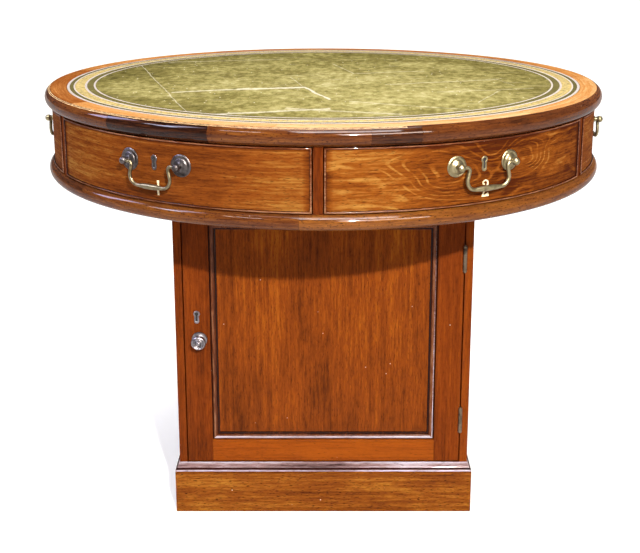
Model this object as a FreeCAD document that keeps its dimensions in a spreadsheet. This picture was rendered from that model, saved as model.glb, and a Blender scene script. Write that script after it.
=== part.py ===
"""Captain's desk: a revolving drum table with six wedge-shaped drawers on a square cupboard pedestal.

Frame: millimetres, +Z up, origin on the floor under the spindle, the door faces -Y.
"""
import FreeCAD, Part
import math
import os
import re

import Sketcher

doc = FreeCAD.newDocument("CaptainsDesk")
sheet = doc.addObject("Spreadsheet::Sheet", "Sizes")

DRAWER_COUNT = 6

# Driving dimensions in millimetres, angles in degrees, shares without a unit
SIZES = {
    # Table top
    "desk_height": 760,
    "rim_radius": 518,
    "rim_thickness": 28.5,
    "rim_overhang": 10,
    "band_width": 30,
    "leather_thickness": 1.6,
    "leather_set": 0.2,
    "inlay_gap": 0.3,
    # Drum
    "drum_turn": -0.85,
    "drawer_opening": 103.5,
    "base_thickness": 25,
    "lower_rim_setback": 2,
    "lower_rim_overhang": 10,
    "divider_thickness": 15,
    "divider_proud": 0.5,
    "hub_face": 105,
    "spindle_radius": 24,
    "spindle_height": 90,
    "spindle_flange_radius": 60,
    "spindle_flange_thickness": 12,
    "bush_wall": 6,
    "base_hole_clearance": 4,
    # Drawers
    "face_setback": 2,
    "front_thickness": 22,
    "drawer_gap": 1.6,
    "cockbead_width": 3.3,
    "cockbead_depth": 12,
    "cockbead_proud": 2.4,
    "runner_gap": 0.2,
    "side_inset": 1,
    "box_wall": 10,
    "box_headroom": 19.5,
    "box_bottom": 6,
    "box_bottom_lift": 6,
    "box_back_gap": 45,
    # Drawer handles and locks
    "handle_drop": 39.5,
    "handle_half_span": 50,
    "first_rose_radius": 17.8,
    "rose_radius": 16.5,
    "rose_thickness": 2.2,
    "boss_radius": 11,
    "boss_thickness": 2.4,
    "post_radius": 4.2,
    "ball_radius": 6.2,
    "ball_stand": 14.5,
    "boss_top_share": 0.86,
    "bail_radius": 2.9,
    "bail_grip_radius": 4.6,
    "bail_grip_inset": 2,
    "bail_grip_end_share": 0.7,
    "bail_drop": 36,
    "bail_neck_radius": 5.5,
    "bail_corner_radius": 15,
    "bail_flare": 15,
    "bail_neck_reach": 10,
    "pin_depth": 2,
    "nut_radius": 6.5,
    "nut_thickness": 4,
    "plate_width": 11.6,
    "plate_waist": 8,
    "plate_foot_width": 9,
    "plate_height": 24,
    "plate_thickness": 1.2,
    "keyhole_round": 3.2,
    "keyhole_slot": 3.6,
    "lock_width": 56,
    "lock_height": 40,
    "lock_thickness": 11,
    # Pedestal
    "pedestal_width": 522,
    "side_thickness": 14,
    "board_thickness": 20,
    "floor_thickness": 16,
    "back_thickness": 12,
    "plinth_step": 8,
    "plinth_board": 20,
    "plinth_height": 79,
    "moulding_height": 17,
    "moulding_bead": 5,
    "moulding_step": 1.6,
    "moulding_lip": 1.8,
    # Door
    "door_gap": 2,
    "door_thickness": 22,
    "stile_width": 45,
    "bottom_rail": 41,
    "top_rail": 35,
    "groove_depth": 8,
    "panel_thickness": 8,
    "panel_recess": 8,
    "tongue_gap": 0.6,
    "bead_width": 13,
    "bead_setback": 1.4,
    "bead_round": 5,
    "knob_inset": 26,
    "knob_rise": 235,
    "knob_rose_radius": 14,
    "knob_rose_thickness": 2.4,
    "knob_neck_radius": 6,
    "knob_radius": 12.8,
    "knob_stand": 24,
    "knob_under_share": 0.56,
    "knob_rim_share": 0.86,
    "knob_ring_share": 0.66,
    "knob_button_share": 0.4,
    "knob_button_top_share": 0.34,
    "knob_swell_share": 0.3,
    "knob_edge_share": 0.9,
    "knob_hollow_share": 0.85,
    "knob_rose_share": 0.62,
    "door_key_inset": 22,
    "door_key_rise": 276.5,
    # Hinges
    "hinge_height": 47,
    "upper_hinge_drop": 98,
    "lower_hinge_rise": 82,
    "knuckle_radius": 3.4,
    "hinge_pin_radius": 1.6,
    "leaf_gap": 0.3,
    "hinge_leaf_width": 17,
    "hinge_finial": 1.6,
    "knuckle_gap": 0.3,
    # Fits
    "turn_gap": 0.3,
    "running_clearance": 0.05,
    "overrun": 5,
}
for row, (name, size) in enumerate(SIZES.items(), start=1):
    sheet.set(f"A{row}", name)
    sheet.set(f"B{row}", str(size))
    sheet.setAlias(f"B{row}", name)
doc.recompute()

# Levels and places that several pieces share, as sums of the driving dimensions
TOP_UNDER = "(desk_height - rim_thickness)"
DRUM_FLOOR = f"({TOP_UNDER} - drawer_opening)"
DRUM_UNDER = f"({DRUM_FLOOR} - base_thickness)"
PEDESTAL_TOP = f"({DRUM_UNDER} - turn_gap)"
CARCASS_TOP = f"({PEDESTAL_TOP} - board_thickness)"
BAND_RADIUS = "(rim_radius - rim_overhang)"
LEATHER_RADIUS = f"({BAND_RADIUS} - band_width)"
BASE_RADIUS = "(rim_radius - lower_rim_setback - lower_rim_overhang)"
FACE_RADIUS = f"({BAND_RADIUS} - face_setback)"
DIVIDER_RADIUS = f"({FACE_RADIUS} + divider_proud)"
HALF_PEDESTAL = "(pedestal_width / 2)"
HALF_PLINTH = f"({HALF_PEDESTAL} + plinth_step)"
HALF_OPENING = f"({HALF_PEDESTAL} - side_thickness)"
HALF_DOOR = f"({HALF_OPENING} - door_gap)"
MOULDING_TOP = "(plinth_height + moulding_height)"
DOOR_FOOT = f"({MOULDING_TOP} + door_gap)"
DOOR_HEAD = f"({CARCASS_TOP} - door_gap)"
PANEL_FOOT = f"({DOOR_FOOT} + bottom_rail)"
PANEL_HEAD = f"({DOOR_HEAD} - top_rail)"
HALF_PANEL = f"({HALF_DOOR} - stile_width)"
PANEL_FACE = f"({HALF_PEDESTAL} - panel_recess)"
SPINDLE_BORE = "(spindle_radius + running_clearance)"
BUSH_RADIUS = f"({SPINDLE_BORE} + bush_wall)"
DRAWER_PITCH = f"(360 / {DRAWER_COUNT})"
HALF_PITCH = f"({DRAWER_PITCH} / 2)"
FRONT_INNER = f"({FACE_RADIUS} - front_thickness)"
BEAD_SEAT = f"({FACE_RADIUS} - cockbead_depth)"
BEAD_FACE = f"({FACE_RADIUS} + cockbead_proud)"
END_OFFSET = "(divider_thickness / 2 + drawer_gap)"
BEAD_OFFSET = f"({END_OFFSET} + cockbead_width)"
BOX_OFFSET = f"({END_OFFSET} + side_inset)"
BOX_INNER = f"({BOX_OFFSET} + box_wall)"
FRONT_FOOT = f"({DRUM_FLOOR} + drawer_gap)"
FRONT_HEIGHT = "(drawer_opening - 2 * drawer_gap)"
BOX_FOOT = f"({DRUM_FLOOR} + runner_gap)"
BOX_HEIGHT = "(drawer_opening - runner_gap - box_headroom)"
BOX_BACK = "(hub_face + box_back_gap)"
HANDLE_LEVEL = f"({TOP_UNDER} - handle_drop)"
POST_ANGLE = f"asin(handle_half_span / {FACE_RADIUS})"
BALL_RADIUS_OUT = f"({FACE_RADIUS} + ball_stand)"
PIVOT_X = f"({BALL_RADIUS_OUT} * sin({POST_ANGLE}))"
PIVOT_Y = f"(-{BALL_RADIUS_OUT} * cos({POST_ANGLE}))"
KNOB_LEVEL = f"({DOOR_FOOT} + knob_rise)"
DOOR_KEY_LEVEL = f"({DOOR_FOOT} + door_key_rise)"
HINGE_LEVELS = {"upper": f"({DOOR_HEAD} - upper_hinge_drop)", "lower": f"({DOOR_FOOT} + lower_hinge_rise)"}
HINGE_LEAF = "((door_gap - leaf_gap) / 2)"
BEAD_PROUD = "(panel_recess - bead_setback)"
HINGE_X = f"({HALF_OPENING} - door_gap / 2)"
HINGE_Y = f"(-({HALF_PEDESTAL} + knuckle_radius + knuckle_gap))"


def bound(text):
    """The expression with each named size written as a cell of the sheet."""
    return re.sub(r"[a-z_]+", lambda m: f"Sizes.{m[0]}" if m[0] in SIZES else m[0], text)


def value(text):
    """The expression's present value as a plain number."""
    return float(sheet.evalExpression(bound(text).replace("Sizes.", "")))


def bind(thing, **properties):
    """Binds properties to expressions; a double underscore in a name stands for a dot."""
    for name, text in properties.items():
        thing.setExpression(name.replace("__", "."), bound(text))


def named(kind, name):
    thing = doc.addObject(kind, name)
    thing.Label = name
    return thing


def turned(thing, angle):
    """Turns a finished piece about the vertical axis through the origin."""
    thing.Placement = FreeCAD.Placement(FreeCAD.Vector(), FreeCAD.Vector(0, 0, 1), value(angle))
    bind(thing, Placement__Rotation__Angle=angle)
    return thing


def box(name, low, size):
    piece = named("Part::Box", name)
    bind(piece, Length=size[0], Width=size[1], Height=size[2])
    bind(piece, Placement__Base__x=low[0], Placement__Base__y=low[1], Placement__Base__z=low[2])
    return piece


def cylinder(name, radius, height, base):
    piece = named("Part::Cylinder", name)
    bind(piece, Radius=radius, Height=height)
    bind(piece, Placement__Base__x=base[0], Placement__Base__y=base[1], Placement__Base__z=base[2])
    return piece


def rod_along_x(name, radius, half_length, y, z):
    """A round rod along X, centred on the YZ plane."""
    piece = named("Part::Cylinder", name)
    axis = FreeCAD.Rotation(FreeCAD.Vector(0, 0, 1), FreeCAD.Vector(1, 0, 0))
    piece.Placement = FreeCAD.Placement(FreeCAD.Vector(), axis)
    bind(piece, Radius=radius, Height=f"2 * {half_length}")
    bind(piece, Placement__Base__x=f"-{half_length}", Placement__Base__y=y, Placement__Base__z=z)
    return piece


def cut(name, base, tool):
    piece = named("Part::Cut", name)
    piece.Base = base
    piece.Tool = tool
    return piece


def fuse(name, pieces):
    piece = named("Part::MultiFuse", name)
    piece.Shapes = pieces
    return piece


def group(name, pieces):
    """Separate solids kept together as one node."""
    piece = named("Part::Compound", name)
    piece.Links = pieces
    return piece


def arc_edge(start, end, radius, turn):
    """An arc of less than half a circle; turn is 1 for anticlockwise and -1 for clockwise."""
    middle = (start + end) / 2
    chord = end - start
    reach = math.sqrt(max(radius ** 2 - chord.Length ** 2 / 4, 0))
    left = FreeCAD.Vector(-chord.y, chord.x, 0).normalize()
    centre = middle + left * reach * turn
    first, last = (start, end) if turn > 0 else (end, start)
    angles = [math.atan2(p.y - centre.y, p.x - centre.x) for p in (first, last)]
    circle = Part.Circle(centre, FreeCAD.Vector(0, 0, 1), radius)
    return Part.ArcOfCircle(circle, angles[0], angles[1])


def sketch(body, plane, outline, lift="0", closed=True):
    """A fully bound outline. A corner is (x, y), or (x, y, radius, turn) where an arc starts."""
    drawing = body.newObject("Sketcher::SketchObject", f"{body.Name}_outline")
    origin_plane = [f for f in body.Origin.OriginFeatures if f.Role == plane][0]
    drawing.AttachmentSupport = [(origin_plane, "")]
    drawing.MapMode = "FlatFace"
    bind(drawing, AttachmentOffset__Base__z=lift)
    corners = [FreeCAD.Vector(value(c[0]), value(c[1]), 0) for c in outline]
    count = len(outline) if closed else len(outline) - 1
    ends = []
    for i in range(count):
        start, end = corners[i], corners[(i + 1) % len(corners)]
        if len(outline[i]) == 2:
            edge = drawing.addGeometry(Part.LineSegment(start, end))
            ends.append((edge, 1, 2))
        else:
            radius, turn = outline[i][2:]
            edge = drawing.addGeometry(arc_edge(start, end, value(radius), turn))
            ends.append((edge, 1, 2) if turn > 0 else (edge, 2, 1))
            held = drawing.addConstraint(Sketcher.Constraint("Radius", edge, value(radius)))
            drawing.setExpression(f"Constraints[{held}]", bound(radius))
    joints = range(count) if closed else range(1, count)
    for i in joints:
        before, after = ends[i - 1], ends[i]
        drawing.addConstraint(Sketcher.Constraint("Coincident", before[0], before[2], after[0], after[1]))
    places = [(ends[i][0], ends[i][1]) for i in range(count)]
    if not closed:
        places.append((ends[-1][0], ends[-1][2]))
    for corner, (edge, point), (x, y) in zip(corners, places, [c[:2] for c in outline]):
        for kind, text, size in (("DistanceX", x, corner.x), ("DistanceY", y, corner.y)):
            held = drawing.addConstraint(Sketcher.Constraint(kind, -1, 1, edge, point, size))
            drawing.setExpression(f"Constraints[{held}]", bound(text))
    return drawing


def round_sketch(body, plane, centre, radius, lift="0"):
    """A bound circle."""
    drawing = body.newObject("Sketcher::SketchObject", f"{body.Name}_round")
    origin_plane = [f for f in body.Origin.OriginFeatures if f.Role == plane][0]
    drawing.AttachmentSupport = [(origin_plane, "")]
    drawing.MapMode = "FlatFace"
    bind(drawing, AttachmentOffset__Base__z=lift)
    middle = FreeCAD.Vector(value(centre[0]), value(centre[1]), 0)
    edge = drawing.addGeometry(Part.Circle(middle, FreeCAD.Vector(0, 0, 1), value(radius)))
    held = drawing.addConstraint(Sketcher.Constraint("Radius", edge, value(radius)))
    drawing.setExpression(f"Constraints[{held}]", bound(radius))
    for kind, text, size in (("DistanceX", centre[0], middle.x), ("DistanceY", centre[1], middle.y)):
        held = drawing.addConstraint(Sketcher.Constraint(kind, -1, 1, edge, 3, size))
        drawing.setExpression(f"Constraints[{held}]", bound(text))
    return drawing


def pad(body, drawing, length, midplane=False):
    feature = body.newObject("PartDesign::Pad", f"{body.Name}_pad")
    feature.Profile = drawing
    if midplane:
        feature.SideType = "Symmetric"
    bind(feature, Length=length)
    return feature


def pocket(body, drawing, length):
    """A cut along the sketch plane's normal."""
    feature = body.newObject("PartDesign::Pocket", f"{body.Name}_pocket")
    feature.Profile = drawing
    feature.Reversed = True
    bind(feature, Length=length)
    return feature


def revolve(body, drawing, axis="V_Axis"):
    feature = body.newObject("PartDesign::Revolution", f"{body.Name}_turning")
    feature.Profile = drawing
    feature.ReferenceAxis = (drawing, [axis])
    feature.Angle = 360
    return feature


def padded(name, plane, outline, length, lift="0", midplane=False):
    body = named("PartDesign::Body", name)
    pad(body, sketch(body, plane, outline, lift), length, midplane)
    return body


def turning(name, plane, outline, lift="0"):
    """A turned piece: the outline swung about the sketch's upright axis."""
    body = named("PartDesign::Body", name)
    revolve(body, sketch(body, plane, outline, lift))
    return body


def rectangle(x0, y0, x1, y1):
    return [(x0, y0), (x1, y0), (x1, y1), (x0, y1)]


def edge_arc(height, overhang):
    """Radius of the arc that swells by the overhang over the height."""
    return f"(({height} / 2)^2 + {overhang}^2) / (2 * {overhang})"


def wedge_point(radius, offset, side):
    """Where the line beside a divider, set off from its middle, meets a circle round the spindle."""
    along = f"sqrt({radius}^2 - {offset}^2)"
    x = f"{side} * ({along} * sin({HALF_PITCH}) - {offset} * cos({HALF_PITCH}))"
    y = f"-({along} * cos({HALF_PITCH}) + {offset} * sin({HALF_PITCH}))"
    return x, y


def wedge_depth_point(depth, offset, side):
    """Where that line meets the plane that lies a depth in front of the spindle."""
    along = f"({depth} - {offset} * sin({HALF_PITCH})) / cos({HALF_PITCH})"
    return f"{side} * ({along} * sin({HALF_PITCH}) - {offset} * cos({HALF_PITCH}))", f"-{depth}"


def sector(inner, outer, offset):
    """Outline of a curved board that fills a drawer's wedge between two radii."""
    return [
        (*wedge_point(outer, offset, 1), outer, -1),
        wedge_point(outer, offset, -1),
        (*wedge_point(inner, offset, -1), inner, 1),
        wedge_point(inner, offset, 1),
    ]


def make_plinth():
    span = f"({HALF_PLINTH} - plinth_board)"
    boards = [
        box("plinth_front_board", (f"-{HALF_PLINTH}", f"-{HALF_PLINTH}", "0"),
            (f"2 * {HALF_PLINTH}", "plinth_board", "plinth_height")),
        box("plinth_back_board", (f"-{HALF_PLINTH}", span, "0"),
            (f"2 * {HALF_PLINTH}", "plinth_board", "plinth_height")),
        box("plinth_left_board", (f"-{HALF_PLINTH}", f"-{span}", "0"),
            ("plinth_board", f"2 * {span}", "plinth_height")),
        box("plinth_right_board", (span, f"-{span}", "0"),
            ("plinth_board", f"2 * {span}", "plinth_height")),
    ]
    # A bead below and a hollow above, mitred at the corners
    bead_top = "(plinth_height + moulding_bead)"
    hollow_foot = f"({HALF_PLINTH} - moulding_step)"
    hollow_head = f"({HALF_PEDESTAL} + moulding_lip)"
    bead_back = f"({HALF_PLINTH} - moulding_bead / 2)"
    hollow_radius = f"({MOULDING_TOP} - {bead_top})"
    profile = [
        (f"-{HALF_PEDESTAL}", "plinth_height"),
        (f"-{HALF_PEDESTAL}", MOULDING_TOP),
        (f"-{hollow_head}", MOULDING_TOP, hollow_radius, 1),
        (f"-{hollow_foot}", bead_top),
        (f"-{bead_back}", bead_top, "moulding_bead / 2", 1),
        (f"-{HALF_PLINTH}", "plinth_height + moulding_bead / 2", "moulding_bead / 2", 1),
        (f"-{bead_back}", "plinth_height"),
    ]
    lengths = []
    for side in range(4):
        strip = padded(f"moulding_strip_{side}", "YZ_Plane", profile, f"2 * {HALF_PLINTH}", midplane=True)
        reach = f"({HALF_PLINTH} + overrun)"
        wedge = padded(f"moulding_mitre_{side}", "XY_Plane",
                       [("0", "0"), (f"-{reach}", f"-{reach}"), (reach, f"-{reach}")],
                       f"{MOULDING_TOP} + overrun")
        length = named("Part::Common", f"moulding_length_{side}")
        length.Base = strip
        length.Tool = wedge
        lengths.append(turned(length, f"{side} * 90"))
    return [group("plinth_boards", boards), group("plinth_moulding", lengths)]


def make_carcass():
    side_height = f"({CARCASS_TOP} - plinth_height)"
    depth = "(pedestal_width - back_thickness)"
    left = box("carcass_left_side", (f"-{HALF_PEDESTAL}", f"-{HALF_PEDESTAL}", "plinth_height"),
               ("side_thickness", "pedestal_width", side_height))
    right = box("carcass_right_side", (HALF_OPENING, f"-{HALF_PEDESTAL}", "plinth_height"),
                ("side_thickness", "pedestal_width", side_height))
    back = box("carcass_back", (f"-{HALF_OPENING}", f"{HALF_PEDESTAL} - back_thickness", "plinth_height"),
               (f"2 * {HALF_OPENING}", "back_thickness", side_height))
    bottom = box("carcass_bottom", (f"-{HALF_OPENING}", f"-{HALF_PEDESTAL}", "plinth_height"),
                 (f"2 * {HALF_OPENING}", depth, "floor_thickness"))
    top_board = box("carcass_top_board", (f"-{HALF_PEDESTAL}", f"-{HALF_PEDESTAL}", CARCASS_TOP),
                    ("pedestal_width", "pedestal_width", "board_thickness"))
    hole = cylinder("carcass_top_hole", "spindle_radius", "board_thickness + 2 * overrun",
                    ("0", "0", f"{CARCASS_TOP} - overrun"))
    top = cut("carcass_top", top_board, hole)
    flange_foot = f"({CARCASS_TOP} - spindle_flange_thickness)"
    spindle = turning("pivot_spindle", "XZ_Plane", [
        ("0", flange_foot),
        ("spindle_flange_radius", flange_foot),
        ("spindle_flange_radius", CARCASS_TOP),
        ("spindle_radius", CARCASS_TOP),
        ("spindle_radius", f"{PEDESTAL_TOP} + spindle_height"),
        ("0", f"{PEDESTAL_TOP} + spindle_height"),
    ])
    return [left, right, back, bottom, top, spindle]


def make_hinges():
    """Butt hinges: two knuckles and the pin on the carcass side, one knuckle on the door."""
    third = "(hinge_height / 3)"
    neck = "((hinge_pin_radius + knuckle_radius) / 2)"
    plate_y = f"-{HALF_PEDESTAL}"
    neck_y = f"({HINGE_Y} + {neck})"
    neck_depth = f"(knuckle_radius + knuckle_gap - {neck})"
    leaves = {"frame": [], "door": []}
    pins = []
    sides = {"frame": (f"{HALF_OPENING} - {HINGE_LEAF}", (0, 2)), "door": (HALF_DOOR, (1,))}
    for level, height in HINGE_LEVELS.items():
        foot = f"({height} - hinge_height / 2)"
        for owner, (leaf_x, knuckles) in sides.items():
            label = f"{owner}_{level}_hinge"
            pieces = [box(f"{label}_plate", (leaf_x, plate_y, foot),
                          (HINGE_LEAF, "hinge_leaf_width", "hinge_height"))]
            for k in knuckles:
                low = f"({foot} + {k} * {third} + knuckle_gap / 2)"
                tall = f"({third} - knuckle_gap)"
                pieces.append(cylinder(f"{label}_knuckle_{k}", "knuckle_radius", tall,
                                       (HINGE_X, HINGE_Y, low)))
                pieces.append(box(f"{label}_neck_{k}", (leaf_x, neck_y, low), (HINGE_LEAF, neck_depth, tall)))
            bore = "hinge_pin_radius" if owner == "frame" else "hinge_pin_radius + running_clearance"
            drill = cylinder(f"{label}_bore", bore, "hinge_height + 2 * overrun",
                             (HINGE_X, HINGE_Y, f"{foot} - overrun"))
            leaves[owner].append(cut(f"{label}_leaf", fuse(f"{label}_blank", pieces), drill))
        pins.append(cylinder(f"{level}_hinge_pin", "hinge_pin_radius", "hinge_height + 2 * hinge_finial",
                             (HINGE_X, HINGE_Y, f"{foot} - hinge_finial")))
    return (group("frame_hinge_leaves", leaves["frame"]), group("hinge_pins", pins),
            group("door_hinge_leaves", leaves["door"]))


def key_plate(name, lift):
    """A keyhole plate, round above and flared below, pierced with the keyhole."""
    body = named("PartDesign::Body", name)
    half, waist, base = "(plate_width / 2)", "(plate_waist / 2)", "(plate_foot_width / 2)"
    head = f"(plate_height / 2 - {half})"
    foot = f"({base} - plate_height / 2)"
    swell = f"({half} * {half} - {waist} * {waist})"
    shoulder = f"({head} - sqrt({swell}))"
    outline = [
        (waist, shoulder, half, 1),
        ("0", "plate_height / 2", half, 1),
        (f"-{waist}", shoulder),
        (f"-{base}", foot, base, 1),
        ("0", "-plate_height / 2", base, 1),
        (base, foot),
    ]
    pad(body, sketch(body, "XZ_Plane", outline, lift), "plate_thickness")
    slot = "(keyhole_slot / 2)"
    drop = f"({waist} - plate_height / 2)"
    root = f"({head} - sqrt(keyhole_round^2 - {slot}^2))"
    keyhole = [
        (slot, root, "keyhole_round", 1),
        ("0", f"{head} + keyhole_round", "keyhole_round", 1),
        (f"-{slot}", root),
        (f"-{slot}", drop),
        (slot, drop),
    ]
    pocket(body, sketch(body, "XZ_Plane", keyhole, f"{lift} - overrun"), "plate_thickness + 2 * overrun")
    return body


def make_door():
    face = f"-{HALF_PEDESTAL}"
    back = f"(door_thickness - {HALF_PEDESTAL})"
    groove_front = f"-{PANEL_FACE}"
    groove_back = f"(panel_thickness - {PANEL_FACE})"
    height = f"({DOOR_HEAD} - {DOOR_FOOT})"

    def stile(name, side):
        outer, inner = f"{side} * {HALF_DOOR}", f"{side} * {HALF_PANEL}"
        deep = f"{side} * ({HALF_PANEL} + groove_depth)"
        section = [(outer, face), (inner, face), (inner, groove_front), (deep, groove_front),
                   (deep, groove_back), (inner, groove_back), (inner, back), (outer, back)]
        return padded(name, "XY_Plane", section, height, DOOR_FOOT)

    def rail(name, outer, inner, deep):
        section = [(face, outer), (back, outer), (back, inner), (groove_back, inner),
                   (groove_back, deep), (groove_front, deep), (groove_front, inner), (face, inner)]
        return padded(name, "YZ_Plane", section, f"2 * {HALF_PANEL}", midplane=True)

    tongue = "(groove_depth - tongue_gap)"
    panel = box("door_panel", (f"-{HALF_PANEL} - {tongue}", groove_front, f"{PANEL_FOOT} - {tongue}"),
                (f"2 * ({HALF_PANEL} + {tongue})", "panel_thickness",
                 f"{PANEL_HEAD} - {PANEL_FOOT} + 2 * {tongue}"))

    # Bead round the panel, rounded on both sides
    bead = named("PartDesign::Body", "door_bead")
    outer = rectangle(f"-{HALF_PANEL}", PANEL_FOOT, HALF_PANEL, PANEL_HEAD)
    pad(bead, sketch(bead, "XZ_Plane", outer, PANEL_FACE), BEAD_PROUD)
    inner = rectangle(f"-{HALF_PANEL} + bead_width", f"{PANEL_FOOT} + bead_width",
                      f"{HALF_PANEL} - bead_width", f"{PANEL_HEAD} - bead_width")
    window = pocket(bead, sketch(bead, "XZ_Plane", inner, f"{PANEL_FACE} - overrun"),
                    f"{BEAD_PROUD} + 2 * overrun")
    doc.recompute()
    front = -value(f"{PANEL_FACE} + {BEAD_PROUD}")
    rounded = []
    for number, edge in enumerate(window.Shape.Edges, start=1):
        if all(math.isclose(v.Y, front, abs_tol=value("running_clearance")) for v in edge.Vertexes):
            rounded.append(f"Edge{number}")
    fillet = bead.newObject("PartDesign::Fillet", "door_bead_round")
    fillet.Base = (window, rounded)
    bind(fillet, Radius="bead_round")

    # Turned knob on its rose, with a ringed face
    stand = f"({HALF_PEDESTAL} + knob_stand)"
    under = f"({HALF_PEDESTAL} + knob_stand * knob_under_share)"
    rim = f"({HALF_PEDESTAL} + knob_stand * knob_edge_share)"
    hollow = f"({HALF_PEDESTAL} + knob_stand * knob_hollow_share)"
    rose = f"({HALF_PEDESTAL} + knob_rose_thickness)"
    knob = turning("door_knob", "XY_Plane", [
        ("0", face),
        ("knob_rose_radius", face),
        ("knob_rose_radius", f"-{rose}"),
        ("knob_rose_radius * knob_rose_share", f"-{rose} - knob_rose_thickness / 2"),
        ("knob_neck_radius", f"-{rose} - knob_rose_thickness"),
        ("knob_neck_radius", f"-{under}"),
        ("knob_radius * knob_rim_share", f"-{under}", "knob_stand * knob_swell_share", -1),
        ("knob_radius * knob_rim_share", f"-{rim}"),
        ("knob_radius * knob_ring_share", f"-{hollow}"),
        ("knob_radius * knob_button_share", f"-{hollow}"),
        ("knob_radius * knob_button_top_share", f"-{stand}"),
        ("0", f"-{stand}"),
    ], KNOB_LEVEL)
    bind(knob, Placement__Base__x=f"knob_inset - {HALF_DOOR}")

    plate = key_plate("door_key_plate", HALF_PEDESTAL)
    bind(plate, Placement__Base__x=f"door_key_inset - {HALF_DOOR}", Placement__Base__z=DOOR_KEY_LEVEL)
    lock = box("door_lock", (f"-{HALF_DOOR}", back, f"{DOOR_KEY_LEVEL} - lock_height / 2"),
               ("stile_width", "lock_thickness", "lock_height"))
    return [
        stile("door_lock_stile", -1),
        stile("door_hinge_stile", 1),
        rail("door_bottom_rail", DOOR_FOOT, PANEL_FOOT, f"({PANEL_FOOT} - groove_depth)"),
        rail("door_top_rail", DOOR_HEAD, PANEL_HEAD, f"({PANEL_HEAD} + groove_depth)"),
        panel,
        bead,
        knob,
        plate,
        lock,
    ]


def make_drum():
    seat = "(desk_height - leather_set - leather_thickness)"
    recess = f"({LEATHER_RADIUS} + inlay_gap)"
    table_top = turning("table_top", "XZ_Plane", [
        ("0", TOP_UNDER),
        (BAND_RADIUS, TOP_UNDER),
        (BAND_RADIUS, "desk_height"),
        (recess, "desk_height"),
        (recess, seat),
        ("0", seat),
    ])
    top_rim = turning("top_rim", "XZ_Plane", [
        (BAND_RADIUS, TOP_UNDER, edge_arc("rim_thickness", "rim_overhang"), 1),
        (BAND_RADIUS, "desk_height"),
    ])
    leather = cylinder("leather_inset", LEATHER_RADIUS, "leather_thickness", ("0", "0", seat))
    base_hole = "(spindle_radius + base_hole_clearance)"
    drum_base = turning("drum_base", "XZ_Plane", [
        (base_hole, DRUM_UNDER),
        (BASE_RADIUS, DRUM_UNDER),
        (BASE_RADIUS, DRUM_FLOOR),
        (base_hole, DRUM_FLOOR),
    ])
    lower_rim = turning("lower_rim", "XZ_Plane", [
        (BASE_RADIUS, DRUM_UNDER, edge_arc("base_thickness", "lower_rim_overhang"), 1),
        (BASE_RADIUS, DRUM_FLOOR),
    ])
    half = "(divider_thickness / 2)"
    tip = f"-sqrt({DIVIDER_RADIUS}^2 - {half}^2)"
    plan = [(f"-{half}", "-hub_face"), (f"-{half}", tip, DIVIDER_RADIUS, 1), (half, tip), (half, "-hub_face")]
    boards = []
    for k in range(DRAWER_COUNT):
        board = padded(f"divider_board_{k + 1}", "XY_Plane", plan, "drawer_opening", DRUM_FLOOR)
        boards.append(turned(board, f"drum_turn + {k} * {DRAWER_PITCH}"))
    dividers = group("dividers", boards)
    block = named("Part::Prism", "hub_blank")
    block.Polygon = DRAWER_COUNT
    bind(block, Circumradius=f"hub_face / cos({HALF_PITCH})", Height="drawer_opening")
    bind(block, Placement__Base__z=DRUM_FLOOR)
    bore = cylinder("hub_bore", BUSH_RADIUS, "drawer_opening + 2 * overrun",
                    ("0", "0", f"{DRUM_FLOOR} - overrun"))
    hub = cut("hub_block", block, bore)
    bush = turning("pivot_bush", "XZ_Plane", [
        (SPINDLE_BORE, DRUM_FLOOR),
        (BUSH_RADIUS, DRUM_FLOOR),
        (BUSH_RADIUS, TOP_UNDER),
        (SPINDLE_BORE, TOP_UNDER),
    ])
    return [table_top, top_rim, leather, drum_base, lower_rim, dividers, turned(hub, "drum_turn"), bush]


def make_drawer_box(number, angle):
    """Two sides that follow the wedge, a back between them and a bottom inside them."""
    pieces = []
    for side, hand in ((-1, "left"), (1, "right")):
        plan = [
            wedge_depth_point(BOX_BACK, BOX_OFFSET, side),
            (*wedge_point(FRONT_INNER, BOX_OFFSET, side), FRONT_INNER, -side),
            wedge_point(FRONT_INNER, BOX_INNER, side),
            wedge_depth_point(BOX_BACK, BOX_INNER, side),
        ]
        pieces.append(padded(f"drawer_{number}_{hand}_side", "XY_Plane", plan, BOX_HEIGHT, BOX_FOOT))
    back_front = f"({BOX_BACK} + box_wall)"
    back = [wedge_depth_point(BOX_BACK, BOX_INNER, -1), wedge_depth_point(back_front, BOX_INNER, -1),
            wedge_depth_point(back_front, BOX_INNER, 1), wedge_depth_point(BOX_BACK, BOX_INNER, 1)]
    pieces.append(padded(f"drawer_{number}_back", "XY_Plane", back, BOX_HEIGHT, BOX_FOOT))
    floor = [
        wedge_depth_point(back_front, BOX_INNER, -1),
        (*wedge_point(FRONT_INNER, BOX_INNER, -1), FRONT_INNER, 1),
        wedge_point(FRONT_INNER, BOX_INNER, 1),
        wedge_depth_point(back_front, BOX_INNER, 1),
    ]
    pieces.append(padded(f"drawer_{number}_bottom", "XY_Plane", floor, "box_bottom",
                         f"{BOX_FOOT} + box_bottom_lift"))
    return turned(group(f"drawer_box_{number}", pieces), angle)


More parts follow.
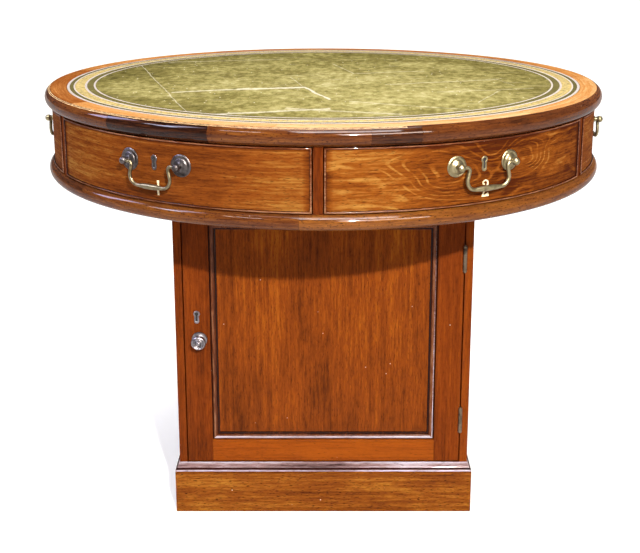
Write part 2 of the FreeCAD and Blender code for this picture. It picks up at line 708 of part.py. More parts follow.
def make_drawer_front(number, angle):
    """The curved board with its rebate, and the cockbead that lies in the rebate."""
    front = named("PartDesign::Body", f"drawer_front_{number}")
    core = sector(FRONT_INNER, BEAD_SEAT, END_OFFSET)
    pad(front, sketch(front, "XY_Plane", core, FRONT_FOOT), FRONT_HEIGHT)
    inset_height = f"({FRONT_HEIGHT} - 2 * cockbead_width)"
    inset_foot = f"({FRONT_FOOT} + cockbead_width)"
    face = sector(BEAD_SEAT, FACE_RADIUS, BEAD_OFFSET)
    pad(front, sketch(front, "XY_Plane", face, inset_foot), inset_height)
    bead = named("PartDesign::Body", f"drawer_cockbead_{number}")
    pad(bead, sketch(bead, "XY_Plane", sector(BEAD_SEAT, BEAD_FACE, END_OFFSET), FRONT_FOOT), FRONT_HEIGHT)
    inner, outer = f"({BEAD_SEAT} - overrun)", f"({BEAD_FACE} + overrun)"
    pocket(bead, sketch(bead, "XY_Plane", sector(inner, outer, BEAD_OFFSET), inset_foot), inset_height)
    return [turned(front, angle), turned(bead, angle)]


def make_posts(number, rose):
    """Roses with their posts, bored for the bail's pins, and the nuts behind them."""
    face, rise = FACE_RADIUS, "rose_thickness"
    ball = BALL_RADIUS_OUT
    neck = "sqrt(ball_radius^2 - post_radius^2)"
    posts, nuts = [], []
    for side, hand in ((-1, "left"), (1, "right")):
        post = turning(f"drawer_{number}_{hand}_post", "XY_Plane", [
            ("0", f"-{face}"),
            (rose, f"-{face}"),
            (rose, f"-({face} + {rise} / 2)"),
            (f"{rose} - {rise}", f"-({face} + {rise})"),
            ("boss_radius", f"-({face} + {rise})"),
            ("boss_radius * boss_top_share", f"-({face} + {rise} + boss_thickness)"),
            ("post_radius", f"-({face} + {rise} + boss_thickness)"),
            ("post_radius", f"-({ball} - {neck})", "ball_radius", -1),
            ("0", f"-({ball} + ball_radius)"),
        ], HANDLE_LEVEL)
        posts.append(turned(post, f"{side} * {POST_ANGLE}"))
        seat = f"sqrt({FRONT_INNER}^2 - nut_radius^2)"
        nut = turning(f"drawer_{number}_{hand}_nut", "XY_Plane", [
            ("0", f"-{seat}"),
            ("0", f"-({seat} - nut_thickness)"),
            ("nut_radius", f"-({seat} - nut_thickness)"),
            ("nut_radius", f"-{seat}"),
        ], HANDLE_LEVEL)
        nuts.append(turned(nut, f"{side} * {POST_ANGLE}"))
    drill = rod_along_x(f"drawer_{number}_pin_bore", "bail_radius + running_clearance",
                        f"({PIVOT_X} + pin_depth + knuckle_gap)", PIVOT_Y, HANDLE_LEVEL)
    return [cut(f"drawer_{number}_posts", group(f"drawer_{number}_post_pair", posts), drill), *nuts]


def make_fittings(number, angle, rose):
    """The posts and nuts of the handle, the keyhole plate and the lock case."""
    plate = key_plate(f"drawer_{number}_key_plate", FACE_RADIUS)
    bind(plate, Placement__Base__z=HANDLE_LEVEL)
    lock_face = f"sqrt({FRONT_INNER}^2 - (lock_width / 2)^2)"
    lock = box(f"drawer_{number}_lock_case",
               ("-lock_width / 2", f"-{lock_face}", f"{HANDLE_LEVEL} - lock_height / 2"),
               ("lock_width", "lock_thickness", "lock_height"))
    return turned(group(f"drawer_fittings_{number}", [*make_posts(number, rose), plate, lock]), angle)


def make_bail(number, angle):
    """A swan-necked bail: pins into the posts, necks that flare outwards, and a swelled grip."""
    body = named("PartDesign::Body", f"bail_handle_{number}")
    pin_end = f"({PIVOT_X} + pin_depth)"
    neck_x = f"({PIVOT_X} - bail_neck_reach)"
    neck_end_x = f"({neck_x} - bail_neck_radius * cos(bail_flare))"
    neck_end_z = f"(-bail_neck_radius * (1 + sin(bail_flare)))"
    corner_z = f"(-bail_drop + bail_corner_radius * (1 + sin(bail_flare)))"
    corner_x = f"({neck_end_x} + ({neck_end_z} - {corner_z}) * tan(bail_flare))"
    bar_x = f"({corner_x} - bail_corner_radius * cos(bail_flare))"
    neck_top_x = f"({neck_x} - bail_neck_radius * sin(45))"
    neck_top_z = "(-bail_neck_radius * (1 - cos(45)))"
    level = HANDLE_LEVEL
    half = [
        (pin_end, "0", None),
        (neck_x, "0", ("bail_neck_radius", 1)),
        (neck_top_x, neck_top_z, ("bail_neck_radius", 1)),
        (neck_end_x, neck_end_z, None),
        (corner_x, corner_z, ("bail_corner_radius", -1)),
        (f"({bar_x} + bail_corner_radius * cos(45))",
         "(-bail_drop + bail_corner_radius * (1 - sin(45)))", ("bail_corner_radius", -1)),
        (bar_x, "-bail_drop", None),
    ]
    route = []
    for x, z, bend in half:
        route.append((x, f"{level} + {z}", *(bend or ())))
    for i in range(len(half) - 1, -1, -1):
        x, z, _ = half[i]
        bend = half[i - 1][2] if i else None
        route.append((f"-{x}", f"{level} + {z}", *(bend or ())))
    path = sketch(body, "XZ_Plane", route, f"-{PIVOT_Y}", closed=False)
    section = round_sketch(body, "YZ_Plane", (PIVOT_Y, level), "bail_radius", pin_end)
    pipe = body.newObject("PartDesign::AdditivePipe", f"{body.Name}_rod")
    pipe.Profile = section
    pipe.Spine = (path, [f"Edge{i + 1}" for i in range(len(route) - 1)])
    end = "(bail_radius * bail_grip_end_share)"
    swell = f"(bail_grip_radius - {end})"
    reach = f"({bar_x} - bail_grip_inset)"
    grip = [
        (f"-{reach}", "0"),
        (f"-{reach}", end, f"({reach}^2 + {swell}^2) / (2 * {swell})", -1),
        (reach, end),
        (reach, "0"),
    ]
    lens = sketch(body, "XZ_Plane", grip, f"-{PIVOT_Y}")
    bind(lens, AttachmentOffset__Base__y=f"{level} - bail_drop")
    revolve(body, lens, "H_Axis")
    return turned(body, angle)


def make_drawers():
    nodes = []
    for number in range(1, DRAWER_COUNT + 1):
        angle = f"drum_turn + {number - 1} * {DRAWER_PITCH} - {HALF_PITCH}"
        rose = "first_rose_radius" if number == 1 else "rose_radius"
        nodes += make_drawer_front(number, angle)
        nodes.append(make_drawer_box(number, angle))
        nodes.append(make_fittings(number, angle, rose))
        nodes.append(make_bail(number, angle))
    return nodes


nodes = [*make_plinth(), *make_carcass(), *make_hinges(), *make_door(), *make_drum(), *make_drawers()]
doc.recompute()

# Everything has to be sound before anything is written
for thing in doc.Objects:
    if {"Invalid", "Error"} & set(thing.State):
        raise RuntimeError(f"{thing.Label} did not compute: {thing.State}")
for node in nodes:
    if node.Shape.isNull() or not node.Shape.isValid() or not node.Shape.Solids:
        raise RuntimeError(f"{node.Label} has no sound solid")

os.makedirs("parts", exist_ok=True)
for node in nodes:
    node.Shape.exportStep(f"parts/{node.Label}.step")
    print(node.Label, len(node.Shape.Solids), round(node.Shape.Volume))
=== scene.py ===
"""Captain's desk: the looks of the revolving drum desk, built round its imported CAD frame.

Metres, +Z up, the door faces -Y. Angles run from -Y towards +X, and drawers 1 and 2 are the front ones.
"""
from functools import partial
from math import acos, asin, cos, degrees, pi, radians, sin, sqrt, tan, tau

import bmesh
import bpy
import numpy as np
from mathutils import Matrix, Vector


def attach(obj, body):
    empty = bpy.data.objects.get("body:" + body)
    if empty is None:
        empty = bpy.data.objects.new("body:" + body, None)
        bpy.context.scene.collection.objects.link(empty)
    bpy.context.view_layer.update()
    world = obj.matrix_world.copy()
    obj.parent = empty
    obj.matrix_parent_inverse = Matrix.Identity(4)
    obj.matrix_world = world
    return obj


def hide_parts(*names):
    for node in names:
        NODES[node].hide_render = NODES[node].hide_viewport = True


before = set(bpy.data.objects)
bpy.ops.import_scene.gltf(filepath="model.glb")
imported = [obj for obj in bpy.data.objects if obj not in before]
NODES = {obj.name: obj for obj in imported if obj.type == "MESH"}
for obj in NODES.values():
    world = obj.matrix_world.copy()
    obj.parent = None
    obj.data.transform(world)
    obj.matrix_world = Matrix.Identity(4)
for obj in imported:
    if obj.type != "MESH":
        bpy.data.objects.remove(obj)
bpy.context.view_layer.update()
rng = np.random.default_rng(31)

MM = 0.001
# How far apart in the log boards are cut, how much their tones may stray, and where two mouldings are cut
STRAY, TONE_STRAY = 5, 0.12
CAP_SHIFT, BEAD_SHIFT = 2.3, 1.1
WHITE = (1, 1, 1, 1)
# Drum, which stands turned a little
DRUM_TURN = radians(-0.85)
DRAWERS = range(1, 7)
PITCH = radians(60)
RIM_R, BAND_R, LEATHER_R, RECESS_R = 518 * MM, 508 * MM, 478 * MM, 478.3 * MM
TOP, TOP_UNDER, LEATHER_TOP, LEATHER_SEAT = 760 * MM, 731.5 * MM, 759.8 * MM, 758.2 * MM
LOWER_RIM_R, BASE_R, BASE_HOLE_R = 516 * MM, 506 * MM, 28 * MM
DRUM_FLOOR, DRUM_UNDER = 628 * MM, 603 * MM
# Inner and outer radii of the gilt lines on the leather, in millimetres
FILLETS = ((426.8, 430), (442, 446), (463.4, 466), (473, 477.6))
GILT_RISE = 0.06 * MM
# Drawers
FACE_R, FRONT_INNER_R, BEAD_SEAT_R, BEAD_FACE_R = 506 * MM, 484 * MM, 494 * MM, 508.4 * MM
END_OFFSET, BEAD_WIDTH = 9.1 * MM, 3.3 * MM
FRONT_FOOT, FRONT_HEAD = 629.6 * MM, 729.9 * MM
HANDLE_Z, BALL_STAND, NUMERAL_Z = 692 * MM, 14.5 * MM, 652.5 * MM
POST_ANGLE = asin(50 * MM / FACE_R)
# Pedestal and door
HALF_PEDESTAL, HALF_PLINTH = 261 * MM, 269 * MM
PLINTH_TOP, MOULDING_TOP, PLINTH_BOARD = 79 * MM, 96 * MM, 20 * MM
PANEL_FACE, HALF_PANEL, PANEL_FOOT, PANEL_HEAD = 253 * MM, 200 * MM, 139 * MM, 545.7 * MM
KNOB_AT = Vector((-219 * MM, -HALF_PEDESTAL, 333 * MM))
DOOR_KEY_AT = Vector((-223 * MM, -HALF_PEDESTAL, 374.5 * MM))


# ---- Materials

def colour(code):
    """Linear colour of an sRGB hex value."""
    parts = [int(code[i:i + 2], 16) / 255 for i in (1, 3, 5)]
    return (*[p / 12.92 if p <= 0.04045 else ((p + 0.055) / 1.055) ** 2.4 for p in parts], 1)


def wire(node, ins):
    """Fills a node's inputs, by name or in order, with values or with the outputs of other nodes."""
    for key, given in (ins if isinstance(ins, dict) else dict(enumerate(ins))).items():
        socket = node.inputs[key] if isinstance(key, int) else next(
            s for s in node.inputs if s.enabled and s.name == key)
        if isinstance(given, bpy.types.Node):
            given = next(s for s in given.outputs if s.enabled)
        if isinstance(given, bpy.types.NodeSocket):
            node.id_data.links.new(given, socket)
        else:
            socket.default_value = given


def add(tree, kind, ins=(), operation=None, stops=None, **settings):
    """Adds a node with its settings and links; a kind without the word Node is a shader node.

    Stops are the places on a ramp, each with a hex colour or a grey level.
    """
    node = tree.nodes.new(kind if "Node" in kind else "ShaderNode" + kind)
    if operation:
        node.operation = operation
    for name, setting in settings.items():
        setattr(node, name, setting)
    if stops:
        ramp = node.color_ramp
        while len(ramp.elements) < len(stops):
            ramp.elements.new(1)
        for element, (place, tint) in zip(ramp.elements, stops):
            element.position = place
            element.color = colour(tint) if isinstance(tint, str) else (tint, tint, tint, 1)
    wire(node, ins)
    return node


def blank(name, **values):
    """A new material with its shader's even values set, and the function that adds nodes to it."""
    material = bpy.data.materials.new(name)
    material.use_nodes = True
    tree = material.node_tree
    shader = tree.nodes["Principled BSDF"]
    for socket, value in values.items():
        shader.inputs[socket.replace("_", " ")].default_value = value
    return material, partial(add, tree), shader


def stretched(node, grain, along_mm, across_mm, detail, roughness=0.5):
    """Noise drawn out along the grain."""
    scale = (1 / (along_mm * MM), 1 / (across_mm * MM), 1 / (across_mm * MM))
    at = node("VectorMath", (grain, scale), "MULTIPLY")
    return node("TexNoise", {"Vector": at, "Scale": 1.0, "Detail": detail, "Roughness": roughness})


def ring_figure(node, grain, knots):
    """Thin bright rings, as in wood cut through branches, that close into ovals round the knots."""
    ring_mm, rings = 60, 8
    hill = stretched(node, grain, ring_mm * 3.2, ring_mm, 1.6)
    for along, across, reach_mm in knots:
        off = node("VectorMath", (grain, (along * MM, across * MM, FACE_R)), "SUBTRACT")
        squeeze = (0.55 / (reach_mm * MM), 1 / (reach_mm * MM), 0)
        oval = node("VectorMath", (off, squeeze), "MULTIPLY")
        far = node("VectorMath", (oval,), "LENGTH").outputs["Value"]
        swell = node("MapRange", (far, 0.0, 1.6, 0.62, 0.0), interpolation_type="SMOOTHSTEP")
        hill = node("Math", (hill, swell), "ADD")
    turns = node("Math", (hill, rings * tau), "MULTIPLY")
    crest = node("Math", (turns,), "SINE")
    wave = node("MapRange", (crest, 0.45, 1.0, -0.25, 1.0), interpolation_type="SMOOTHSTEP")
    # The rings fade in and out along their length
    broken = node("MapRange", (stretched(node, grain, 36, 20, 2.0), 0.38, 0.62, 0.1, 1.3))
    return node("Math", (wave, broken), "MULTIPLY")


def mahogany(name, tints, ribbon_mm, pore_share, wear, finish, pore_mm=(8, 1.2), knots=()):
    """Polished mahogany: ribbon stripe, dark open pores and a few pale nicks under a shellac gloss.

    It reads the boards' own grain lines: x along the grain, y across it, z through the board, in metres.
    """
    material, node, shader = blank(name, **finish)
    grain, tone = (node("Attribute", attribute_name=label) for label in ("grain", "tone"))
    ribbon = stretched(node, grain, 500, ribbon_mm, 4.0, 0.6)
    # Fibres are drawn 3 mm wide, because true ones would vanish between the pixels
    fibre = stretched(node, grain, 30, 3.0, 3.0, 0.7)
    pores = stretched(node, grain, *pore_mm, 1.0)
    cloud = stretched(node, grain, 180, 50, 2.0)

    # Each layer's share in how bright the wood is
    layers = [(fibre, 0.44), (cloud, 0.30), (tone, 0.22)]
    if knots:
        layers.insert(2, (ring_figure(node, grain, knots), 0.1))
    level = node("Math", (ribbon, 0.36, -0.02), "MULTIPLY_ADD")
    for layer, share in layers:
        level = node("Math", (layer, share, level), "MULTIPLY_ADD")
    wood = node("ValToRGB", (level,), stops=list(zip((0.34, 0.54, 0.78), tints)))
    pore_mask = node("ValToRGB", (pores,), stops=((0.60, 0), (0.70, pore_share)))
    wood = node("Mix", {"Factor": pore_mask, "A": wood, "B": colour("#2a1108")}, data_type="RGBA")
    # Nicks about 1.5 mm across, some 34 mm apart, that show the bare wood or old polish
    place = node("TexCoord").outputs["Object"]
    nick = node("TexVoronoi", {"Vector": place, "Scale": 1 / (34 * MM)}).outputs["Distance"]
    nick_mask = node("ValToRGB", (nick,), stops=((0.018, wear), (0.034, 0)))
    wood = node("Mix", {"Factor": nick_mask, "A": wood, "B": colour("#c9b7a4")}, data_type="RGBA")
    sheen = node("MapRange", (fibre, 0.3, 0.7, 0.24, 0.42))
    dents = node("Math", (pores, 0.6, fibre), "MULTIPLY_ADD")
    bump = node("Bump", {"Height": dents, "Strength": 0.12, "Distance": 0.4 * MM})
    wire(shader, {"Base Color": wood, "Roughness": sheen, "Normal": bump})
    return material


POLISH = {"Coat_Weight": 0.03, "Coat_Roughness": 0.1, "Specular_IOR_Level": 0.0}
WAXED = {"Coat_Weight": 0.24, "Coat_Roughness": 0.1, "Specular_IOR_Level": 0.0}
HANDLED = {"Coat_Weight": 0.32, "Coat_Roughness": 0.07, "Specular_IOR_Level": 0.0}
BARE = {"Specular_IOR_Level": 0.2}
# Each wood's dark, middle and bright colour, its ribbon's width, and how much its pores and nicks show
frame_wood = mahogany("french_polished_mahogany", ("#3c1706", "#632a0a", "#7e3c0d"), 7, 0.4, 0.6, POLISH)
panel_wood = mahogany("ribbon_striped_mahogany", ("#3b1908", "#6c310d", "#955213"), 9, 0.5, 0.6, POLISH)
veneer = mahogany("straight_grained_mahogany_veneer", ("#3a1606", "#69340f", "#8e6329"), 9, 0.6, 0.4, POLISH)
# The right-hand front was cut through branches: how far along and up each lies, and how far it reaches
swirl = mahogany("swirl_figured_mahogany_veneer", ("#3c1706", "#6e380f", "#996c2f"), 5, 0.6, 0.4, POLISH,
                 knots=((84, 695, 28), (-66, 684, 40)))
edge_wood = mahogany("hand_worn_mahogany_edge", ("#1a0a05", "#4e270f", "#7c4a1a"), 7, 0.8, 0.7, HANDLED,
                     pore_mm=(5, 2.2))
bead_wood = mahogany("waxed_mahogany_bead", ("#1c0b05", "#54260d", "#94694a"), 6, 0.6, 0.4, WAXED)
# The moulding's pale lilac grey is partly bloom on the old polish and partly painted reflection
bloom_and_reflection_wood = mahogany("bloomed_mahogany_moulding_painted_reflection", ("#2c1512", "#7a5f5c", "#b4a8ae"), 40, 0.5, 0.8, HANDLED)
band_wood = mahogany("sun_faded_mahogany_band", ("#7a4219", "#a8713a", "#c2a072"), 8, 0.5, 0.5, POLISH)
# Pale wood of the rim's rubbed top corner, made paler still as a painted highlight
rubbed_and_highlight_wood = mahogany("rubbed_mahogany_corner_painted_highlight", ("#7a4a24", "#b08250", "#cfae80"), 8, 0.1, 0.3, POLISH)
plinth_wood = mahogany("scuffed_mahogany_plinth", ("#35150a", "#6c3710", "#9d6924"), 7, 0.9, 0.9, POLISH)
lining = mahogany("bare_oak_lining", ("#57401f", "#7d6136", "#98794b"), 7, 0.7, 0.3, BARE)


def aged_brass(name, dark, pale, tarnish):
    """Cast brass, once lacquered: bright where hands rub it, brown in blooms, with a soft uneven gloss."""
    material, node, shader = blank(name, Metallic=1.0)
    place = node("TexCoord").outputs["Object"]
    # Blooms of tarnish some 9 mm across, and grit of 0.7 mm
    bloom = node("TexNoise", {"Vector": place, "Scale": 1 / (9 * MM), "Detail": 3.0})
    grit = node("TexNoise", {"Vector": place, "Scale": 1 / (0.7 * MM)})
    metal = node("ValToRGB", (bloom,), stops=((0.5 - tarnish, pale), (0.85 - tarnish, dark)))
    rough = node("MapRange", (bloom, 0.3, 0.7, 0.3, 0.46))
    bump = node("Bump", {"Height": grit, "Strength": 0.05, "Distance": 0.1 * MM})
    wire(shader, {"Base Color": metal, "Roughness": rough, "Normal": bump})
    return material


brass = aged_brass("aged_cast_brass", "#52472f", "#8d8162", 0.05)
dull_brass = aged_brass("dull_handled_brass", "#3a3226", "#7c7056", 0.08)
bronze = aged_brass("browned_cast_brass", "#231d1c", "#57504e", 0.1)
hinge_brass = aged_brass("blackened_hinge_brass", "#1f1815", "#6b5c4c", 0.1)
pewter = aged_brass("worn_plated_knob", "#373231", "#807a7c", 0.06)
iron = aged_brass("turned_iron", "#2b2725", "#5d5853", 0.1)

# Crease ends in millimetres on the desk top, with the crease's width and how pale it is
CREASES = (
    ((-380, 196), (-217, -368), 1.1, 0.5), ((-266, -169), (-154, -136), 2.4, 0.7),
    ((-154, -136), (-35, -113), 3.2, 0.9), ((-35, -113), (8, -242), 3.0, 0.9),
    ((-62, 14), (-35, -113), 1.2, 0.4), ((21, 213), (59, 71), 1.4, 0.4), ((59, 71), (200, 108), 1.6, 0.35),
    ((116, -77), (331, -13), 1.8, 0.4), ((331, -13), (350, -89), 1.2, 0.3),
    ((-210, -408), (10, -343), 2.8, 0.6), ((45, -271), (233, -352), 2.0, 0.35),
    ((258, -280), (314, -147), 1.3, 0.4), ((-330, 250), (-90, 300), 1.6, 0.35),
    ((-60, -340), (120, -395), 3.0, 0.4), ((200, -170), (380, -120), 1.6, 0.3),
)


def tooled_leather():
    """Dyed hide, pasted down: mottled olive, rubbed pale and painted with a pale sheen where arms rest,
    scratched and creased.
    """
    material, node, shader = blank("olive_desk_leather", Specular_IOR_Level=0.0)
    place = node("TexCoord").outputs["Object"]
    grained, scored, chipped = (node("VectorMath", (place, (1 / (x * MM), 1 / (y * MM), 1)), "MULTIPLY")
                                for x, y in ((14, 22), (100, 4), (16, 34)))
    # Mottling of 60 mm, clouds of 240 mm, a grain of 14 mm by 22 mm, and the hide's own pebble of 1.6 mm
    mottle = node("TexNoise", {"Vector": place, "Scale": 1 / (60 * MM), "Detail": 2.0})
    grain = node("TexNoise", {"Vector": grained, "Scale": 1.0, "Detail": 4.0, "Roughness": 0.75})
    cloud = node("TexNoise", {"Vector": place, "Scale": 1 / (240 * MM), "Detail": 2.0})
    hide = node("TexVoronoi", {"Vector": place, "Scale": 1 / (1.6 * MM)})
    # Paler round the place where the sitter's arms lie and darker further off: partly rubbed and bleached,
    # partly painted sheen
    away = node("VectorMath", (place, (0.07, -0.12, LEATHER_TOP)), "DISTANCE").outputs["Value"]
    level = node("MapRange", (away, 0.15, 0.56, 0.0, -0.12))
    for layer, share in ((mottle, 0.20), (grain, 0.54), (cloud, 0.20)):
        level = node("Math", (layer, share, level), "MULTIPLY_ADD")
    dye = node("ValToRGB", (level,), stops=(
        (0.24, "#3d3618"), (0.40, "#6d6335"), (0.52, "#948956"), (0.66, "#b3a880")))

    # Fine pale scratches, and flecks of 2 mm by 4 mm where the dye has chipped
    scratch = node("TexNoise", {"Vector": scored, "Scale": 1.0, "Detail": 2.0, "Distortion": 0.6})
    marks = node("ValToRGB", (scratch,), stops=((0.66, 0), (0.74, 0.45)))
    chip = node("TexVoronoi", {"Vector": chipped, "Scale": 1.0}).outputs["Distance"]
    chips = node("MapRange", (chip, 0.05, 0.10, 0.8, 0.0))
    marks = node("Math", (marks, chips), "MAXIMUM")
    # Long creases where the hide was once folded, each from one point to the next
    drift = node("TexNoise", {"Vector": place, "Scale": 1 / (70 * MM), "Detail": 2.0}).outputs["Color"]
    sway = node("VectorMath", (drift, (0.5, 0.5, 0.5)), "SUBTRACT")
    bent = node("VectorMath", (sway, (10 * MM, 14 * MM, 0), place), "MULTIPLY_ADD")
    for (x0, y0), (x1, y1), width, strength in CREASES:
        along = Vector((x1 - x0, y1 - y0, 0)) * MM
        out = node("VectorMath", (bent, (x0 * MM, y0 * MM, LEATHER_TOP)), "SUBTRACT")
        run = node("VectorMath", (out, along / along.length_squared), "DOT_PRODUCT")
        held = node("Clamp", (run.outputs["Value"],))
        foot = node("VectorMath", {0: along, "Scale": held}, "SCALE")
        # Rubbing towards and away from the sitter has spread each crease that way
        off = node("VectorMath", (out, foot), "SUBTRACT")
        off = node("VectorMath", (off, (1, 0.35, 1)), "MULTIPLY")
        gap = node("VectorMath", (off,), "LENGTH").outputs["Value"]
        ragged = node("Math", (grain, -width * MM * 2.4, gap), "MULTIPLY_ADD")
        line = node("MapRange", (ragged, -width * MM, 0.0, strength, 0.0))
        marks = node("Math", (marks, line), "MAXIMUM")
    wear_and_sheen = node("Mix", {"Factor": marks, "A": dye, "B": colour("#c3b9a4")}, data_type="RGBA")

    # Between the gilt lines: unfaded strips, and worn gold in the tooled band
    flat = node("VectorMath", (place, (1, 1, 0)), "MULTIPLY")
    radius = node("VectorMath", (flat,), "LENGTH").outputs["Value"]
    speck = node("TexNoise", {"Vector": place, "Scale": 1 / (6 * MM), "Detail": 3.0, "Roughness": 0.7})
    gold_left = node("MapRange", (speck, 0.38, 0.56, 0.3, 1.0))
    strips = ((0.8, "#5a5130"), (gold_left, "#b89f66"), (0.85, "#534b2c"))
    for (_, inner), (outer, _), (share, tint) in zip(FILLETS, FILLETS[1:], strips):
        span = (radius, (inner + outer) / 2 * MM, (outer - inner) / 2 * MM)
        ring = node("Math", span, "COMPARE")
        part = node("Math", (ring, share), "MULTIPLY")
        wear_and_sheen = node("Mix", {"Factor": part, "A": wear_and_sheen, "B": colour(tint)}, data_type="RGBA")
    rough = node("MapRange", (grain, 0.3, 0.7, 0.36, 0.58))
    height = node("Math", (marks, -0.8, hide.outputs["Distance"]), "MULTIPLY_ADD")
    bump = node("Bump", {"Height": height, "Strength": 0.25, "Distance": 0.25 * MM})
    wire(shader, {"Base Color": wear_and_sheen, "Roughness": rough, "Normal": bump})
    return material


def speckled(name, speck_mm, stops, rubbed=False, **values):
    """An even skin with specks of other tints, which are also lower and duller where it is rubbed through."""
    material, node, shader = blank(name, **values)
    place = node("TexCoord").outputs["Object"]
    speck = node("TexNoise", {"Vector": place, "Scale": 1 / (speck_mm * MM), "Detail": 2.0})
    wire(shader, {"Base Color": node("ValToRGB", (speck,), stops=stops)})
    if rubbed:
        rough = node("MapRange", (speck, 0.3, 0.7, 0.5, 0.3))
        bump = node("Bump", {"Height": speck, "Strength": 0.15, "Distance": 0.1 * MM})
        wire(shader, {"Roughness": rough, "Normal": bump})
    return material


leather = tooled_leather()
# Gold leaf pressed into hide with hot tools: pale gold, rubbed through to the dye in specks
gilt = speckled("tooled_gold_leaf", 2.2, ((0.28, "#746a4a"), (0.40, "#a89a90"), (0.66, "#b9aca6")), True)
# Hide scorched dark by a hot stamp, where no gold was laid
blind_tooled = speckled("blind_tooled_leather", 2, ((0.4, "#4a4220"), (0.65, "#8a7b48")), Roughness=0.6)
# Sawn bone, filed flush and polished: cream, with a few brown pores
bone = speckled("inlaid_bone", 1.5, ((0.35, "#b99a63"), (0.5, "#e6d3a4"), (0.7, "#f3e8c8")),
                IOR=1.55, Roughness=0.35)
# The bored hole behind a key plate: unlit, dusty wood
hole_dark = speckled("keyhole_shade", 1.2, ((0.4, "#0b0706"), (0.7, "#1f1410")), Roughness=0.9)


# ---- Meshes

def polar(angle, radius, z):
    return radius * sin(angle), -radius * cos(angle), z


def around(count):
    """Angles spread evenly over a whole turn."""
    return np.arange(count) * tau / count


def arc(x, y, radius, start, end, count):
    """Points along an arc in a plane."""
    return [(x + radius * cos(t), y + radius * sin(t)) for t in np.linspace(start, end, count)]


def oblong(x0, y0, x1, y1):
    """Corners of a rectangle in a plane, from the lower left round to the upper left."""
    return [(x0, y0), (x1, y0), (x1, y1), (x0, y1)]


def in_mm(points):
    """Points of a plane that are given in millimetres."""
    return [(x * MM, y * MM) for x, y in points]


def linked(name, data):
    obj = bpy.data.objects.new(name, data)
    bpy.context.scene.collection.objects.link(obj)
    return obj


def paint(mesh, material):
    mesh.materials.clear()
    mesh.materials.append(material)


def piece(mesh, material, body, replaced=None, smooth=None):
    """Links a finished mesh, under the mesh's name, as a piece that rides on a body."""
    obj = linked(mesh.name, mesh)
    paint(mesh, material)
    if smooth is not None:
        mesh.shade_smooth()
        mesh.set_sharp_from_angle(angle=radians(smooth))
    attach(obj, body)
    if replaced:
        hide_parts(replaced)
    return obj


def ease_edges(bm, bevel_mm):
    sharp = [e for e in bm.edges if len(e.link_faces) == 2 and e.calc_face_angle() > radians(35)]
    bmesh.ops.bevel(bm, geom=sharp, offset=bevel_mm * MM, segments=2, profile=0.6, affect="EDGES",
                    clamp_overlap=True)


def settled(name, bm):
    """A new mesh of what a bmesh holds."""
    mesh = bpy.data.meshes.new(name)
    bm.to_mesh(mesh)
    bm.free()
    return mesh


def to_mesh(name, shells, bevel_mm=0):
    """One mesh of closed shells, each a list of points and a list of faces, with faces turned outwards."""
    bm = bmesh.new()
    for points, faces in shells:
        corners = [bm.verts.new(p) for p in points]
        for face in faces:
            bm.faces.new([corners[i] for i in face])
    bmesh.ops.recalc_face_normals(bm, faces=bm.faces)
    if bevel_mm:
        ease_edges(bm, bevel_mm)
    return settled(name, bm)


def coords(mesh):
    flat = np.empty(len(mesh.vertices) * 3, np.float32)
    mesh.vertices.foreach_get("co", flat)
    return flat.reshape(-1, 3).astype(float)


def angles(at, middle):
    """How far round the drum points lie from a middle angle."""
    return (np.arctan2(at[:, 0], -at[:, 1]) - middle + pi) % tau - pi


def set_grain(mesh, grain, tone):
    """Stores the grain's lines and the board's tone for the mahogany to read."""
    mesh.attributes.new("grain", "FLOAT_VECTOR", "POINT").data.foreach_set(
        "vector", np.asarray(grain, np.float32).ravel())
    mesh.attributes.new("tone", "FLOAT", "POINT").data.foreach_set(
        "value", np.broadcast_to(np.asarray(tone, np.float32), len(mesh.vertices)).copy())


def bent_grain(mesh, middle, tone, stray=STRAY):
    """Grain that runs round the drum, shifted at random so that no two lengths match."""
    at = coords(mesh)
    grain = np.c_[angles(at, middle) * BASE_R, at[:, 2], np.hypot(at[:, 0], at[:, 1])]
    set_grain(mesh, grain + rng.uniform(0, stray, 3), tone)


def straight_grain(mesh, along, tone):
    """Grain along one axis of the desk, or each board's longest, shifted so that no two boards match."""
    bm = bmesh.new()
    bm.from_mesh(mesh)
    at = coords(mesh)
    grain, tones = np.zeros_like(at), np.zeros(len(at))
    seen = set()
    for first in bm.verts:
        if first in seen:
            continue
        # The board is all that hangs together with its first corner
        rows, ahead = [], [first]
        seen.add(first)
        while ahead:
            corner = ahead.pop()
            rows.append(corner.index)
            others = {e.other_vert(corner) for e in corner.link_edges} - seen
            seen |= others
            ahead += others
        span = np.ptp(at[rows], axis=0)
        axis = "XYZ".index(along) if along else int(np.argmax(span))
        order = [axis, *[i for i in np.argsort(-span) if i != axis]]
        grain[rows] = at[rows][:, order] + rng.uniform(0, STRAY, 3)
        tones[rows] = tone + rng.uniform(-TONE_STRAY, TONE_STRAY)
    bm.free()
    set_grain(mesh, grain, tones)


def quads(rings, count, closed=False):
    """Faces from each ring of points to the next, and from the last to the first if closed."""
    return [(i * count + k, i * count + j, n * count + j, n * count + k)
            for i in range(rings if closed else rings - 1) for n in [(i + 1) % rings]
            for k in range(count) for j in [(k + 1) % count]]


def swung(outline, start, end, steps):
    """A closed shell: an outline of radii and levels swung from one angle to another.

    An angle may depend on the radius, as at the ends of a drawer front.
    """
    count = len(outline)
    points = []
    for k in range(steps + 1):
        for r, z in outline:
            first, last = (a(r) if callable(a) else a for a in (start, end))
            points.append(polar(first + (last - first) * k / steps, r, z))
    return points, [*quads(steps + 1, count), list(range(count)), [steps * count + i for i in range(count)]]


